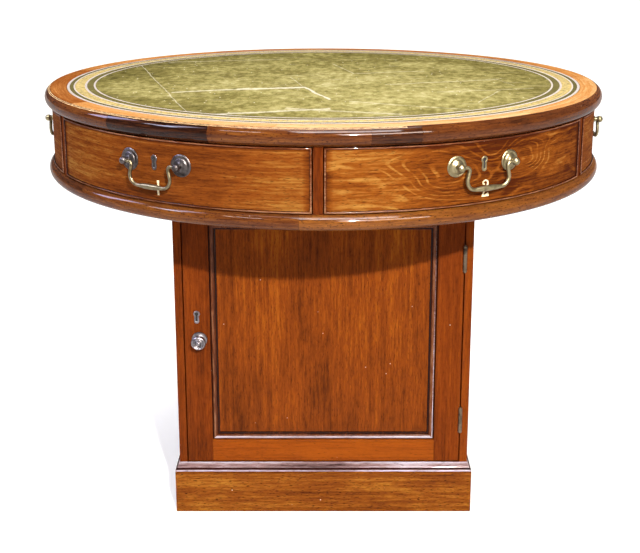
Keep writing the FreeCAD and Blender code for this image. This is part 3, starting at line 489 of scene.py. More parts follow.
def turned(profile, place=Matrix.Identity(4), steps=48):
    """A closed turned shell: radii and heights from pole to pole, set in place by a matrix."""
    points, rings, faces = [], [], []
    for r, h in profile:
        rings.append(len(points))
        points += [place @ Vector((r * cos(a), r * sin(a), h)) for a in around(steps if r else 1)]
    for (r0, _), (r1, _), a, b in zip(profile, profile[1:], rings, rings[1:]):
        for k in range(steps):
            j = (k + 1) % steps
            corners = (a + k * (r0 > 0), b + k * (r1 > 0), b + j * (r1 > 0), a + j * (r0 > 0))
            faces.append(list(dict.fromkeys(corners)))
    return points, faces


def looped(loops):
    """A closed shell of loops with equal counts, each joined to the next and the last to the first."""
    return [p for loop in loops for p in loop], quads(len(loops), len(loops[0]), True)


def hoop(section, steps):
    """A closed ring round the drum's axis, from the radii and levels of its section."""
    return looped([[polar(a, r, z) for a in around(steps)] for r, z in section])


def tube(path, radii, steps):
    """A closed rod along a path, with its own radius at each point."""
    path = [Vector(p) for p in path]
    points = []
    across = (path[1] - path[0]).orthogonal().normalized()
    for i, (at, radius) in enumerate(zip(path, radii)):
        ahead = (path[min(i + 1, len(path) - 1)] - path[max(i - 1, 0)]).normalized()
        across = (across - ahead * across.dot(ahead)).normalized()
        side = ahead.cross(across)
        points += [at + (across * cos(a) + side * sin(a)) * radius for a in around(steps)]
    faces = quads(len(path), steps)
    for ring, tip in ((0, len(points)), (len(points) - steps, len(points) + 1)):
        faces += [(ring + k, ring + (k + 1) % steps, tip) for k in range(steps)]
    return [*points, path[0], path[-1]], faces


def spanned(first, last):
    """A closed shell between two outlines with equal counts."""
    count = len(first)
    return [*first, *last], [list(range(count)), [count + i for i in range(count)], *quads(2, count)]


def prism(outline, thickness, place=Matrix.Identity(4)):
    """A flat closed plate: an outline thickened along its normal and set in place by a matrix."""
    return spanned(*([place @ Vector((x, y, h)) for x, y in outline] for h in (0, thickness)))


def board(node, material, body, along=None, tone=0.0, bevel_mm=0.7, name=None):
    """A straight board, or several: the CAD node's own shape with its sharp edges eased."""
    bm = bmesh.new()
    bm.from_mesh(NODES[node].data)
    bmesh.ops.remove_doubles(bm, verts=bm.verts, dist=0.002 * MM)
    bmesh.ops.dissolve_limit(bm, angle_limit=radians(0.3), verts=bm.verts, edges=bm.edges)
    ease_edges(bm, bevel_mm)
    mesh = settled(name or node + "_board", bm)
    straight_grain(mesh, along, tone)
    return piece(mesh, material, body, node)


# ---- Drum

def half_round(inner, outer, foot, head, steps=14):
    """Outline of a half-round edge: a swelling arc with a flat back."""
    rise, swell = (head - foot) / 2, outer - inner
    radius = (rise ** 2 + swell ** 2) / (2 * swell)
    reach = asin(rise / radius)
    return arc(outer - radius, (foot + head) / 2, radius, -reach, reach, steps)


def segments(name, outline, starts_deg, tones, material, node):
    """A ring glued up from curved lengths, with a hair joint between them."""
    hair, step_deg = 0.12 * MM / BASE_R, 1.5
    bm = bmesh.new()
    for start, end, tone in zip(starts_deg, [*starts_deg[1:], starts_deg[0] + 360], tones):
        a, b = radians(start) + hair, radians(end) - hair
        mesh = to_mesh(name, [swung(outline, a, b, max(6, round(degrees(b - a) / step_deg)))])
        bent_grain(mesh, (a + b) / 2, tone)
        bm.from_mesh(mesh)
        bpy.data.meshes.remove(mesh)
    piece(settled(name, bm), material, "drum", node, 40)


def drum():
    # Rim lengths as their joints show: a dark one at the front left, two short ones right of the middle
    segments("half_round_rim", half_round(BAND_R, RIM_R, TOP_UNDER, TOP),
             (-140, -88, -41, -19.4, 7.9, 16.5, 62, 112, 166),
             (0, -0.15, -0.8, -0.05, -0.35, -0.25, 0.1, 0, -0.1), edge_wood, "top_rim")
    # The rim's top corner is rubbed pale and carries a painted highlight along the sitter's side, in a skin
    # 0.12 mm deep
    skin = ((508.6, -0.35), (511.6, -1.9), (511.72, -1.864), (508.72, -0.314))
    wear_and_sheen = to_mesh("worn_arris_painted_highlight", [swung([(r * MM, TOP + z * MM) for r, z in skin],
                                        radians(-96), radians(14), 110)])
    bent_grain(wear_and_sheen, radians(-40), 0.9)
    piece(wear_and_sheen, rubbed_and_highlight_wood, "drum")
    ease = 0.5 * MM
    band = [(RECESS_R, TOP_UNDER), (BAND_R, TOP_UNDER), (BAND_R, TOP - ease), (BAND_R - ease, TOP),
            (RECESS_R + ease, TOP), (RECESS_R, TOP - ease)]
    segments("top_band", band, (-150, -104, -55, -8, 40, 92, 141, 180),
             (-0.3, -0.7, 0.4, 0.6, 0.1, -0.3, -0.4, -0.4), band_wood, "table_top")
    middle = to_mesh("top_board", [turned([(0, TOP_UNDER), (RECESS_R, TOP_UNDER), (RECESS_R, LEATHER_SEAT),
                                           (0, LEATHER_SEAT)], steps=128)])
    straight_grain(middle, "X", -0.1)
    piece(middle, frame_wood, "drum", smooth=40)
    hide = [(0, LEATHER_SEAT), (LEATHER_R, LEATHER_SEAT), (LEATHER_R, LEATHER_TOP - ease),
            (LEATHER_R - ease, LEATHER_TOP), (LEATHER_R / 2, LEATHER_TOP), (0, LEATHER_TOP)]
    piece(to_mesh("leather_top", [turned(hide, steps=192)]), leather, "drum", "leather_inset", 40)

    base = to_mesh("drum_floor", [hoop(oblong(BASE_HOLE_R, DRUM_UNDER, BASE_R, DRUM_FLOOR), 160)])
    straight_grain(base, "X", -0.1)
    piece(base, frame_wood, "drum", "drum_base", 40)
    # Its lengths at the front right, where the key light falls, are paler: partly the wood's own tone, partly
    # painted highlight
    segments("half_round_lower_rim", half_round(BASE_R, LOWER_RIM_R, DRUM_UNDER, DRUM_FLOOR),
             (-150, -100, -50.6, -4, 41.7, 88, 140, 178), (0.1, 0.0, 0.1, 0.4, 0.5, 0.1, 0, 0.1),
             edge_wood, "lower_rim")
    board("dividers", frame_wood, "drum", "Z", -0.3, 0.6)
    board("hub_block", lining, "drum", "Z", 0, 0.6, "hub_posts")
    paint(NODES["pivot_bush"].data, brass)


def gilt_tooling():
    """Fillet lines and a running band of stamps, pressed into the leather by hand tools."""
    low, high = LEATHER_TOP - GILT_RISE, LEATHER_TOP + GILT_RISE
    lines = [hoop(oblong(inner * MM, low, outer * MM, high), 192) for inner, outer in FILLETS]
    piece(to_mesh("gilt_fillets", lines), gilt, "drum")

    tree = bpy.data.node_groups.new("stamped_band", "GeometryNodeTree")
    sizes = {"Band Radius": 455 * MM, "Stamp Length": 4.4 * MM, "Stamp Width": 9 * MM, "Dot Radius": 1.3 * MM,
             "Relief": 2 * GILT_RISE, "Level": LEATHER_TOP + GILT_RISE / 2, "Stamps": 212}
    for label, size in sizes.items():
        kind = "NodeSocketInt" if isinstance(size, int) else "NodeSocketFloat"
        tree.interface.new_socket(label, in_out="INPUT", socket_type=kind)
    tree.interface.new_socket("Geometry", in_out="OUTPUT", socket_type="NodeSocketGeometry")
    node = partial(add, tree)
    given = node("NodeGroupInput").outputs
    circle = node("GeometryNodeCurvePrimitiveCircle", {"Resolution": 192, "Radius": given["Band Radius"]})
    points = node("GeometryNodeCurveToPoints", {"Curve": circle, "Count": given["Stamps"]}, mode="COUNT")
    # A lozenge, with a dot on each side of the gap to the next
    lozenge = node("GeometryNodeMeshCylinder", {"Vertices": 4, "Radius": 0.5, "Depth": given["Relief"]})
    reach = node("CombineXYZ", (given["Stamp Length"], given["Stamp Width"], 1.0))
    parts = [node("GeometryNodeTransform", {"Geometry": lozenge, "Scale": reach})]
    dot = node("GeometryNodeMeshCylinder", {"Vertices": 8, "Radius": given["Dot Radius"],
                                            "Depth": given["Relief"]})
    half = node("Math", (given["Stamp Length"], 1.5), "MULTIPLY")
    for side in (-0.7, 0.7):
        off = node("Math", (given["Stamp Width"], side), "MULTIPLY")
        at = node("CombineXYZ", (half, off))
        parts.append(node("GeometryNodeTransform", {"Geometry": dot, "Translation": at}))
    stamp = node("GeometryNodeJoinGeometry")
    for part in parts:
        wire(stamp, {"Geometry": part})
    tangent = node("FunctionNodeAlignRotationToVector", {"Vector": points.outputs["Tangent"]}, axis="X",
                   pivot_axis="Z")
    band = node("GeometryNodeInstanceOnPoints", {"Points": points.outputs["Points"], "Instance": stamp,
                                                 "Rotation": tangent})
    lift = node("CombineXYZ", {"Z": given["Level"]})
    raised = node("GeometryNodeTransform", {"Geometry": band, "Translation": lift})
    real = node("GeometryNodeRealizeInstances", {"Geometry": raised})
    painted = node("GeometryNodeSetMaterial", {"Geometry": real, "Material": blind_tooled})
    node("NodeGroupOutput", {"Geometry": painted})
    piece(grown("tooled_stamps", tree, sizes), blind_tooled, "drum")


def grown(name, tree, sizes):
    """The plain mesh that a node tree makes with these sizes."""
    carrier = linked(name + "_carrier", bpy.data.meshes.new(name + "_source"))
    modifier = carrier.modifiers.new("maker", "NODES")
    modifier.node_group = tree
    for item in tree.interface.items_tree:
        if item.in_out == "INPUT" and item.name in sizes:
            modifier[item.identifier] = sizes[item.name]
    bpy.context.view_layer.update()
    graph = bpy.context.evaluated_depsgraph_get()
    mesh = bpy.data.meshes.new_from_object(carrier.evaluated_get(graph))
    mesh.name = name
    bpy.data.objects.remove(carrier)
    return mesh


# ---- Drawers

# Tones of fronts 1 and 2 by the angle from their middles: paler and more golden next to each other, partly
# the veneers' own colour and partly painted sheen
FRONT_TONES_AND_SHEEN = {1: ((-0.45, -0.3, 0.0, 0.2, 0.3, 0.42), (0.2, 0.1, -0.15, -0.25, 0.0, 0.3)),
               2: ((-0.45, -0.3, -0.18, 0.08, 0.27, 0.45), (0.15, 0.15, -0.4, -0.5, -0.15, -0.38))}


def drawer_angle(number):
    return DRUM_TURN + PITCH * (number - 1.5)


def drawer_ends(middle, inset):
    """Where a drawer front ends beside its dividers: two angles that depend on the radius."""
    return [lambda r, side=side: middle + side * (PITCH / 2 - asin((END_OFFSET + inset) / r))
            for side in (-1, 1)]


def drawer_front(number):
    middle, body = drawer_angle(number), f"drawer_{number}"
    core = oblong(FRONT_INNER_R, FRONT_FOOT, BEAD_SEAT_R, FRONT_HEAD)
    lap, dirt_and_shade_depth, dirt_and_shade, hair = 0.3 * MM, 5 * MM, -0.7, 0.001
    foot, head = FRONT_FOOT + BEAD_WIDTH, FRONT_HEAD - BEAD_WIDTH
    clear_head = head - dirt_and_shade_depth
    face = [(BEAD_SEAT_R - lap, foot), (FACE_R, foot), (FACE_R, clear_head), (FACE_R, head),
            (BEAD_SEAT_R - lap, head)]
    mesh = to_mesh(f"veneered_front_{number}", [swung(core, *drawer_ends(middle, 0), 48),
                                                swung(face, *drawer_ends(middle, BEAD_WIDTH), 48)])
    at = coords(mesh)
    along = angles(at, middle)
    if number in FRONT_TONES_AND_SHEEN:
        tone = np.interp(along, *FRONT_TONES_AND_SHEEN[number])
    else:
        tone = 0.15 * sin(number * 2.1)
    # Dirt and painted shade darken the veneer under the rim and beside the end beads
    reach = drawer_ends(middle, BEAD_WIDTH)[1](FACE_R) - middle
    at_ends = np.abs(along) > reach - hair
    tone += np.interp(at[:, 2], (clear_head, head), (0, dirt_and_shade)) + np.where(at_ends, dirt_and_shade, 0)
    # Front 2 keeps its place in the grain, where its knots are
    bent_grain(mesh, middle, tone, 0 if number == 2 else STRAY)
    piece(mesh, swirl if number == 2 else veneer, body, f"drawer_front_{number}", 40)

    # Cockbead: a half-round nose that stands proud of the veneer
    nose = BEAD_WIDTH / 2
    section = [(0, BEAD_SEAT_R), *arc(nose, BEAD_FACE_R - nose, nose, pi, 0, 9),
               (BEAD_WIDTH, BEAD_SEAT_R)]
    loops = []
    for inset, r in section:
        sweep = np.linspace(*(end(r) for end in drawer_ends(middle, inset)), 41)
        low, high = FRONT_FOOT + inset, FRONT_HEAD - inset
        loops.append([polar(a, r, low) for a in sweep] + [polar(a, r, high) for a in sweep[::-1]])
    mesh = to_mesh(f"cockbead_{number}", [looped(loops)])
    # Painted shade lies dark beside the bead, and a painted highlight lies pale along its nose, most along
    # the head and foot
    at = coords(mesh)
    rubbed = np.interp(at[:, 2], (FRONT_FOOT, foot, head, FRONT_HEAD), (0.8, -0.1, -0.1, 0.3))
    rubbed += np.interp(np.hypot(at[:, 0], at[:, 1]),
                        (BEAD_FACE_R - nose, BEAD_FACE_R - 0.4 * nose, BEAD_FACE_R), (-1.6, -0.3, 0.1))
    bent_grain(mesh, middle, rubbed)
    piece(mesh, bead_wood, body, f"drawer_cockbead_{number}", 50)
    board(f"drawer_box_{number}", lining, body, None, 0, 0.8, f"drawer_linings_{number}")


def outward(angle, z, radius=FACE_R):
    """A place on the drum's face: x along the face to the right, y up, z outwards."""
    return (Matrix.Translation(polar(angle, radius, z)) @ Matrix.Rotation(angle, 4, "Z")
            @ Matrix.Rotation(pi / 2, 4, "X"))


def key_shape(head, neck, top, bottom, foot):
    """Outline of a keyhole or key plate, from millimetres: a round head, a neck and a rounded foot."""
    open_below = pi / 2 - asin(neck / head)
    crown = arc(0, top - head, head, -open_below, pi + open_below, 17)
    return in_mm(crown + arc(0, bottom + foot, foot, pi, tau, 9))


def key_plate(place, metal, body, name, replaced=None):
    """A pierced plate with a bevelled lip, and the dark hole behind it."""
    thick, hole_depth = 1.2 * MM, 0.15 * MM
    outer, lip = key_shape(5.8, 4.0, 12, -12, 4.5), key_shape(5.2, 3.5, 11.4, -11.4, 3.9)
    step, inner = key_shape(3.7, 2.2, 9.9, -8.5, 2.2), key_shape(3.2, 1.8, 9.4, -8, 1.8)
    rings = ((outer, 0), (outer, 0.5), (lip, 1), (step, 1), (inner, 0.7), (inner, 0))
    plate = looped([[place @ Vector((x, y, thick * share)) for x, y in outline] for outline, share in rings])
    piece(to_mesh(f"key_plate_{name}", [plate]), metal, body, replaced)
    piece(to_mesh(f"keyhole_{name}", [prism(inner, hole_depth, place)]), hole_dark, body)


def rose_profile(radius):
    """Stepped rose, boss, post and ball, from the drawer front outwards."""
    ball, stand, post = 6.2, BALL_STAND / MM, 4.8
    rose = [(0, 0), (radius, 0), (radius, 0.9), (radius - 0.7, 1.7), (radius - 2.0, 2.2), (radius - 3.2, 1.7),
            (radius * 0.68, 2.0), (radius * 0.64, 3.1), (radius * 0.56, 3.9), (radius * 0.44, 4.5),
            (radius * 0.36, 5.2), (4.6, 6.2), (4.2, 7.4), (4.3, 8.6), (post, 10.2)]
    rose += arc(0, stand, ball, -acos(post / ball), pi / 2, 14)[1:-1]
    return in_mm([*rose, (0, stand + ball)])


# Six-sided nut with its bolt's end, inwards from the back of a drawer front
NUT = in_mm(((0, 0), (6.5, 0), (6.5, -3.2), (5.6, -4), (2.2, -4), (2.0, -5.4), (0, -5.8)))
LOCK_HALF_WIDTH, LOCK_HALF_HEIGHT, LOCK_DEPTH = 28 * MM, 20 * MM, 11 * MM


def fittings(number):
    middle, body = drawer_angle(number), f"drawer_{number}"
    # Drawer 1's fittings are browner, with wider roses
    metal, rose_r = (bronze, 17.8) if number == 1 else (brass, 16.5)
    posts = [middle - POST_ANGLE, middle + POST_ANGLE]
    roses = [turned(rose_profile(rose_r), outward(a, HANDLE_Z), 40) for a in posts]
    nuts = [turned(NUT, outward(a, HANDLE_Z, FRONT_INNER_R), 6) for a in posts]
    piece(to_mesh(f"handle_roses_{number}", roses), metal, body, f"drawer_fittings_{number}", 32)
    piece(to_mesh(f"handle_nuts_{number}", nuts), brass, body)
    key_plate(outward(middle, HANDLE_Z), metal, body, str(number))
    x, y = LOCK_HALF_WIDTH, LOCK_HALF_HEIGHT
    seat = outward(middle, HANDLE_Z, sqrt(FRONT_INNER_R ** 2 - x ** 2))
    lock = prism(oblong(-x, -y, x, y), -LOCK_DEPTH, seat)
    piece(to_mesh(f"lock_case_{number}", [lock], 0.8), iron, body)


def bail_path(rod):
    """The bail's line from its right-hand pin to the left-hand one: x along the face, y up; and its radii."""
    pivot, reach, bend, flare = 51.44, 10, 5.5, radians(15)
    corner, drop, half_grip, grip = 15, 36, 24, 4.6
    half = [(pivot + 2, 0), (pivot - reach / 2, 0)]
    half += arc(pivot - reach, -bend, bend, pi / 2, pi + flare, 9)
    end_x, end_y = half[-1]
    corner_y = -drop + corner * (1 + sin(flare))
    corner_x = end_x + (end_y - corner_y) * tan(flare)
    centre_x = corner_x - corner * cos(flare)
    half += [(end_x + (corner_x - end_x) * t, end_y + (corner_y - end_y) * t) for t in (0.35, 0.7)]
    half += arc(centre_x, corner - drop, corner, flare, -pi / 2, 12)
    half += [(centre_x * t, -drop) for t in (0.9, 0.75, 0.6, 0.45, 0.3, 0.15)]
    path = half + [(0, -drop)] + [(-x, y) for x, y in half[::-1]]
    # The grip swells towards its middle
    swell = [max(0.0, 1 - (x / half_grip) ** 2) if y == -drop else 0.0 for x, y in path]
    return in_mm(path), [(rod + share * (grip - rod)) * MM for share in swell]


def bail(number):
    metal, rod = (dull_brass, 2.6) if number == 1 else (brass, 3.0)
    path, radii = bail_path(rod)
    place = outward(drawer_angle(number), HANDLE_Z, (FACE_R + BALL_STAND) * cos(POST_ANGLE))
    shell = tube([place @ Vector((x, y, 0)) for x, y in path], radii, 20)
    piece(to_mesh(f"swan_neck_bail_{number}", [shell]), metal, f"bail_{number}",
          f"bail_handle_{number}", 40)


# Strokes of the inlaid numerals in millimetres: across, up and width, from the numeral's middle
NUMERALS = {
    1: [[(2.6, -11.6, 3.4), (2.6, 11.6, 4.4)]],
    2: [[(-1.2, 6.6, 2.6), (-4.0, 7.2, 2.6), (-4.6, 9.6, 2.4), (-3.0, 12.0, 2.4), (0.4, 12.8, 2.6),
         (3.8, 11.2, 3.0), (4.8, 7.6, 3.4), (3.6, 3.6, 3.4), (0.4, -1.6, 2.8), (-2.8, -6.4, 2.6),
         (-4.8, -10.6, 2.6)],
        [(-6.4, -11.4, 3.2), (-1, -11.4, 3.6), (4.0, -10.6, 5.2), (6.6, -9.8, 6.4)]],
    3: [[(-5.0, 9.4, 2.2), (-2.6, 12.4, 2.2), (1.4, 12.6, 2.6), (4.6, 9.6, 3.4), (4.0, 4.8, 3.0),
         (0.2, 1.8, 2.0)],
        [(0.2, 1.8, 2.0), (4.6, -1.2, 3.0), (5.6, -6.6, 3.6), (2.4, -11.6, 2.8), (-2.4, -12.6, 2.2),
         (-5.6, -9.4, 2.4)]],
    4: [[(3.2, -13.4, 3.2), (3.2, 12.8, 3.2)], [(3.0, 12.4, 2.0), (-6.4, -5.0, 2.0)],
        [(-6.8, -5.8, 2.2), (6.8, -5.8, 2.2)]],
    5: [[(5.2, 12.2, 2.6), (-4.2, 12.2, 2.2)], [(-4.0, 12.4, 1.8), (-4.8, 2.4, 1.8)],
        [(-4.8, 2.4, 2.0), (0.4, 3.6, 2.6), (5.0, 0.2, 3.4), (5.4, -6.0, 3.6), (2.0, -11.6, 2.8),
         (-2.8, -12.6, 2.2), (-5.6, -9.8, 2.4)]],
    6: [[(4.6, 11.0, 2.4), (0.2, 12.4, 2.4), (-4.0, 7.4, 3.0), (-5.4, -1.6, 3.4), (-4.6, -8.4, 3.2),
         (-0.6, -12.6, 2.4), (4.2, -9.6, 3.2), (4.8, -4.0, 3.2), (1.2, -0.4, 2.2), (-3.8, -3.0, 2.0)]],
}


def numeral(number):
    """A bone numeral let into the veneer, bent to the drawer's curve."""
    middle = drawer_angle(number) + radians(0.4)
    let_in, shells = FACE_R - 0.5 * MM, []
    for k, stroke in enumerate(NUMERALS[number]):
        line = [Vector(p[:2]) for p in stroke]
        left, right = [], []
        for i, (at, (_, _, width)) in enumerate(zip(line, stroke)):
            ahead = (line[min(i + 1, len(line) - 1)] - line[max(i - 1, 0)]).normalized()
            side = Vector((-ahead.y, ahead.x)) * width / 2
            left.append(at + side)
            right.append(at - side)
        outline = left + right[::-1]
        count = len(outline)
        # Each stroke lies a hair higher than the one before, so that crossing strokes don't flicker
        proud = FACE_R + (0.10 + 0.02 * k) * MM
        points = [polar(middle + p.x * MM / FACE_R, r, NUMERAL_Z + p.y * MM)
                  for r in (let_in, proud) for p in outline]
        faces = quads(2, count)
        for i in range(len(left) - 1):
            across = (i, i + 1, count - 2 - i, count - 1 - i)
            faces += [across, tuple(count + j for j in across)]
        shells.append((points, faces))
    piece(to_mesh(f"bone_numeral_{number}", shells), bone, f"drawer_{number}")


# ---- Pedestal and door

def square_ring(section, steps=12):
    """A mitred moulding round the pedestal: half widths and levels of its closed section."""
    corners = [Vector(c) for c in oblong(-1, -1, 1, 1)]
    way = [a.lerp(b, k / steps) for a, b in zip(corners, corners[1:] + corners[:1]) for k in range(steps)]
    return looped([[(p.x * r, p.y * r, z) for p in way] for r, z in section])


def pedestal():
    out, inner = HALF_PLINTH, HALF_PLINTH - PLINTH_BOARD
    boards = ((-out, -out, out, -inner), (-out, inner, out, out), (-out, -inner, -inner, inner),
              (inner, -inner, out, inner))
    mesh = to_mesh("plinth_sides", [prism(oblong(*ends), PLINTH_TOP) for ends in boards], 1.0)
    straight_grain(mesh, None, -0.05)
    piece(mesh, plinth_wood, "pedestal", "plinth_boards")

    # Moulding: a bead, a quirk, and a hollow up to the carcass with a small lip
    bead, quirk, quirk_depth, lip = 2.5 * MM, 1.3 * MM, 2.4 * MM, 1.8 * MM
    hollow_foot = HALF_PLINTH - 1.6 * MM
    bead_head = PLINTH_TOP + 2 * bead
    rise, run = MOULDING_TOP - bead_head - quirk, hollow_foot - HALF_PEDESTAL - lip
    section = [(HALF_PEDESTAL, PLINTH_TOP)]
    section += arc(HALF_PLINTH - bead, PLINTH_TOP + bead, bead, -pi / 2, pi / 2, 7)
    section += [(hollow_foot - quirk_depth, bead_head + h) for h in (0, quirk)]
    section += [(hollow_foot - run * sin(t), bead_head + quirk + rise * (1 - cos(t)))
                for t in np.linspace(0, pi / 2, 7)]
    section += [(HALF_PEDESTAL, MOULDING_TOP)]
    strip = to_mesh("plinth_cap", [square_ring(section)])
    at = coords(strip)
    wide = np.abs(at[:, 0]) > np.abs(at[:, 1])
    # Bloom and a painted highlight lie pale on the bead and the hollow's lip, least in the middle of each
    # side; painted shade makes the quirk dark
    bloom = np.interp(at[:, 2] - PLINTH_TOP, np.array((0, 1, 2.5, 4.5, 5, 6.3, 7.5, 12, 17)) * MM,
                      (-1.2, 0.2, 1.2, 0.2, -1.6, -1.6, 0.4, 0.1, 0.9))
    bloom -= 0.5 * np.exp(-(np.where(wide, at[:, 1], at[:, 0]) / (100 * MM)) ** 2)
    set_grain(strip, np.where(wide[:, None], at[:, [1, 2, 0]], at[:, [0, 2, 1]]) + CAP_SHIFT, bloom)
    piece(strip, bloom_and_reflection_wood, "pedestal", "plinth_moulding", 30)
    for node, along, tone in (("carcass_left_side", "Z", 0.0), ("carcass_right_side", "Z", 0.1),
                              ("carcass_back", "Z", -0.1), ("carcass_bottom", "X", -0.2),
                              ("carcass_top", "X", -0.3)):
        board(node, frame_wood, "pedestal", along, tone)
    for node in ("frame_hinge_leaves", "hinge_pins", "door_hinge_leaves"):
        paint(NODES[node].data, hinge_brass)
    for node in ("pivot_spindle", "door_lock"):
        paint(NODES[node].data, iron)


# The knob's radii and heights, from its base to the ringed face
KNOB = in_mm((
    (0, 0), (14, 0), (14, 1.4), (13.2, 2.4), (11, 2.8), (8.7, 3.6), (6.4, 4.8), (5.8, 8), (6.0, 11.4),
    (8.4, 13.2), (11, 13.6), (12.6, 15), (13, 17.2), (12.6, 19.4), (11.4, 21.2), (10.2, 21.7), (9.4, 21.2),
    (8.8, 20.4), (8.2, 20.2), (7.4, 21.2), (6.4, 21.8), (5.6, 21.4), (5.0, 20.6), (4.4, 21.2), (3.2, 23.2),
    (1.6, 23.9), (0, 24)))


def panel_corners(inset, height):
    """Corners of a frame on the panel's face, from the lower left round to the upper left."""
    side, y = HALF_PANEL - inset, -PANEL_FACE - height
    return [(x, y, z) for x, z in oblong(-side, PANEL_FOOT + inset, side, PANEL_HEAD - inset)]


def door():
    for node, along, tone in (("door_lock_stile", "Z", -0.2), ("door_hinge_stile", "Z", 0.0),
                              ("door_bottom_rail", "X", 0.65), ("door_top_rail", "X", 0.0)):
        board(node, frame_wood, "door", along, tone)
    panel = board("door_panel", panel_wood, "door", "Z", 0.0, 0.3).data
    # Painted shade makes the panel darker towards its foot
    panel.attributes["tone"].data.foreach_set("value", np.interp(
        coords(panel)[:, 2], (PANEL_FOOT, PANEL_HEAD), (-0.25, 0.05)).astype(np.float32))
    # Bead: a quirk beside the frame, a round nose, and a fillet down to the panel
    proud, width, nose, quirk = 6.6 * MM, 13 * MM, 4.2 * MM, 1.4 * MM
    root = proud - nose
    section = [(0, 0), (0, root), (quirk * 0.7, root)]
    section += arc(quirk + nose, root, nose, pi - 0.15, 0.5, 10)
    section += [(width - 2.4 * MM, root), (width - 0.6 * MM, root - 0.5 * MM), (width, 0)]
    mesh = to_mesh("panel_bead", [looped([panel_corners(*point) for point in section])])
    at = coords(mesh)
    upright = np.abs(at[:, 0]) > HALF_PANEL - width - 1 * MM
    # Painted shade darkens the bead down in its quirk and fillet and towards the panel; the top of its nose
    # is lightest
    set_grain(mesh, np.where(upright[:, None], at[:, [2, 0, 1]], at[:, [0, 2, 1]]) + BEAD_SHIFT,
              np.interp(-at[:, 1] - PANEL_FACE, np.array((0, 2.4, 4, 6.6)) * MM, (-0.6, -1.0, -0.3, 0.1)))
    piece(mesh, bead_wood, "door", "door_bead", 30)
    # A painted highlight lies pale on the nose along the foot, and in a thinner line up the hinge side
    skin, sunk, shells = nose + 0.12 * MM, nose - 0.3 * MM, []
    for side, start, end in ((0, pi - 0.6, pi - 1.9), (1, pi - 0.9, pi - 1.3)):
        line = arc(quirk + nose, root, skin, start, end, 5) + arc(quirk + nose, root, sunk, end, start, 5)
        shells.append(spanned(*zip(*[panel_corners(*point)[side:side + 2] for point in line])))
    mesh = to_mesh("painted_highlight_nose", shells)
    at = coords(mesh)
    set_grain(mesh, at[:, [0, 2, 1]], np.where(at[:, 2] < PANEL_FOOT + width, 0.8, -0.8))
    piece(mesh, bloom_and_reflection_wood, "door", smooth=40)

    facing = Matrix.Rotation(pi / 2, 4, "X")
    knob = turned(KNOB, Matrix.Translation(KNOB_AT) @ facing)
    piece(to_mesh("ringed_knob", [knob]), pewter, "door", "door_knob", 40)
    key_plate(Matrix.Translation(DOOR_KEY_AT) @ facing, pewter, "door", "door", "door_key_plate")


# ---- Stage

def hang(label, kind, at, aim, **settings):
    """Hangs a lamp that no camera sees, turned towards its aim."""
    light = bpy.data.lights.new(label, kind)
    for name, setting in settings.items():
        setattr(light, name, setting)
    lamp = linked(label, light)
    lamp.location = at
    lamp.rotation_mode = "QUATERNION"
    lamp.rotation_quaternion = (Vector(aim) - Vector(at)).to_track_quat("-Z", "Y")
    lamp.visible_camera = False
    return lamp


def backdrop(mesh, material, **values):
    """Links a mesh of the stage, with an even material that glows white."""
    paint(mesh, blank(material, Emission_Color=WHITE, **values)[0])
    obj = linked(mesh.name, mesh)
    return obj


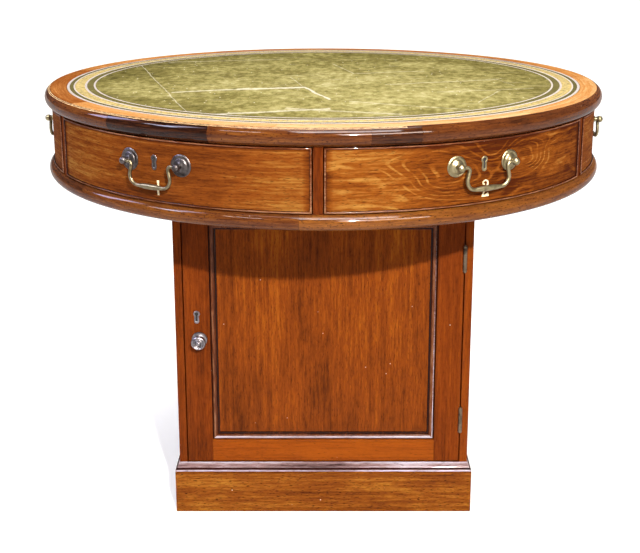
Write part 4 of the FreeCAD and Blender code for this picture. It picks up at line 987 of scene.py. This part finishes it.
def stage():
    """Pale floor, a low key light from the right that throws the drum's shadow on the door, and soft fill."""
    reach = 40
    floor = bpy.data.meshes.new("floor")
    floor.from_pydata([(x, y, 0) for x, y in oblong(-reach, -reach, reach, reach)], [], [(0, 1, 2, 3)])
    backdrop(floor, "pale_studio_floor", Roughness=0.8, Base_Color=colour("#cbc8c4"), Emission_Strength=0.55)
    # A white wall all round, far off, that only stands behind the desk and lights nothing
    wall = to_mesh("wall", [spanned(*([polar(a, reach * 0.98, z) for a in around(48)] for z in (-1, reach)))])
    wall = backdrop(wall, "white_wall", Roughness=1.0, Emission_Strength=1.0)
    wall.visible_diffuse = wall.visible_glossy = wall.visible_shadow = wall.visible_transmission = False
    aim = (0, 0, 0.5)
    # Windows and panes, most of them to the left, light the desk and glint on its polished edges: each with
    # its place, width, height, power and tint, and whether it lights the desk and whether it glints on it
    for label, at, width, height, power, tint, lights, glints in (
            ("left_ceiling", (-2.6, -1.0, 2.6), 0.8, 0.25, 26, "#d5e0ff", True, True),
            ("left_window", (-2.54, 0.4, 1.67), 0.9, 0.3, 20, "#b9ccff", True, False),
            ("front_ceiling", (-1.5, -2.2, 2.9), 0.8, 0.2, 24, "#ffffff", True, True),
            ("right_ceiling", (2.6, -0.8, 2.4), 0.5, 0.5, 25, "#ffffff", True, False),
            ("back_window", (0.3, 4.2, 1.75), 2.4, 0.4, 6, "#ffffff", True, True),
            ("left_pane", (-2.5, -1.2, 2.9), 0.5, 1.4, 55, "#d5dcff", False, True),
            ("side_pane", (-2.6, 0.35, 2.3), 0.6, 1.2, 56, "#c5ccff", False, True),
            ("key_pane", (1.25, -2.9, 2.3), 2.0, 0.7, 170, "#fff4ea", False, True),
            ("top_pane", (0.3, -1.5, 2.7), 1.4, 0.7, 110, "#ffffff", False, True)):
        lamp = hang(label, "AREA", at, aim, shape="RECTANGLE", size=width, size_y=height, energy=power,
                    color=colour(tint)[:3])
        lamp.visible_diffuse, lamp.visible_glossy = lights, glints
    # The key is kept to the desk, so that the floor before it throws little light back up
    hang("key", "SPOT", (0.62, -3.1, 2.25), (0, -0.2, 0.6), energy=860, shadow_soft_size=0.05,
         spot_size=radians(30), spot_blend=0.35)
    # An even light from above keeps the pale floor white out to the horizon
    hang("skylight", "SUN", (0, 0.4, 4), aim, energy=3.2, angle=radians(40))
    world = bpy.data.worlds.new("studio")
    bpy.context.scene.world = world
    world.use_nodes = True
    wire(world.node_tree.nodes["Background"], {"Color": WHITE, "Strength": 0.2})
    bpy.context.scene.view_settings.view_transform = "Standard"


def camera():
    data = bpy.data.cameras.new("camera")
    data.lens, data.sensor_width = 60.83, 36
    data.shift_x, data.shift_y = -0.0075, -0.1508
    lens = linked("camera", data)
    lens.location = (2.6 * MM, -2056.3 * MM, 1051.2 * MM)
    lens.rotation_euler = (radians(90 - 13.42), 0, 0)
    bpy.context.scene.camera = lens


drum()
gilt_tooling()
for number in DRAWERS:
    drawer_front(number)
    fittings(number)
    bail(number)
    numeral(number)
pedestal()
door()
stage()
camera()
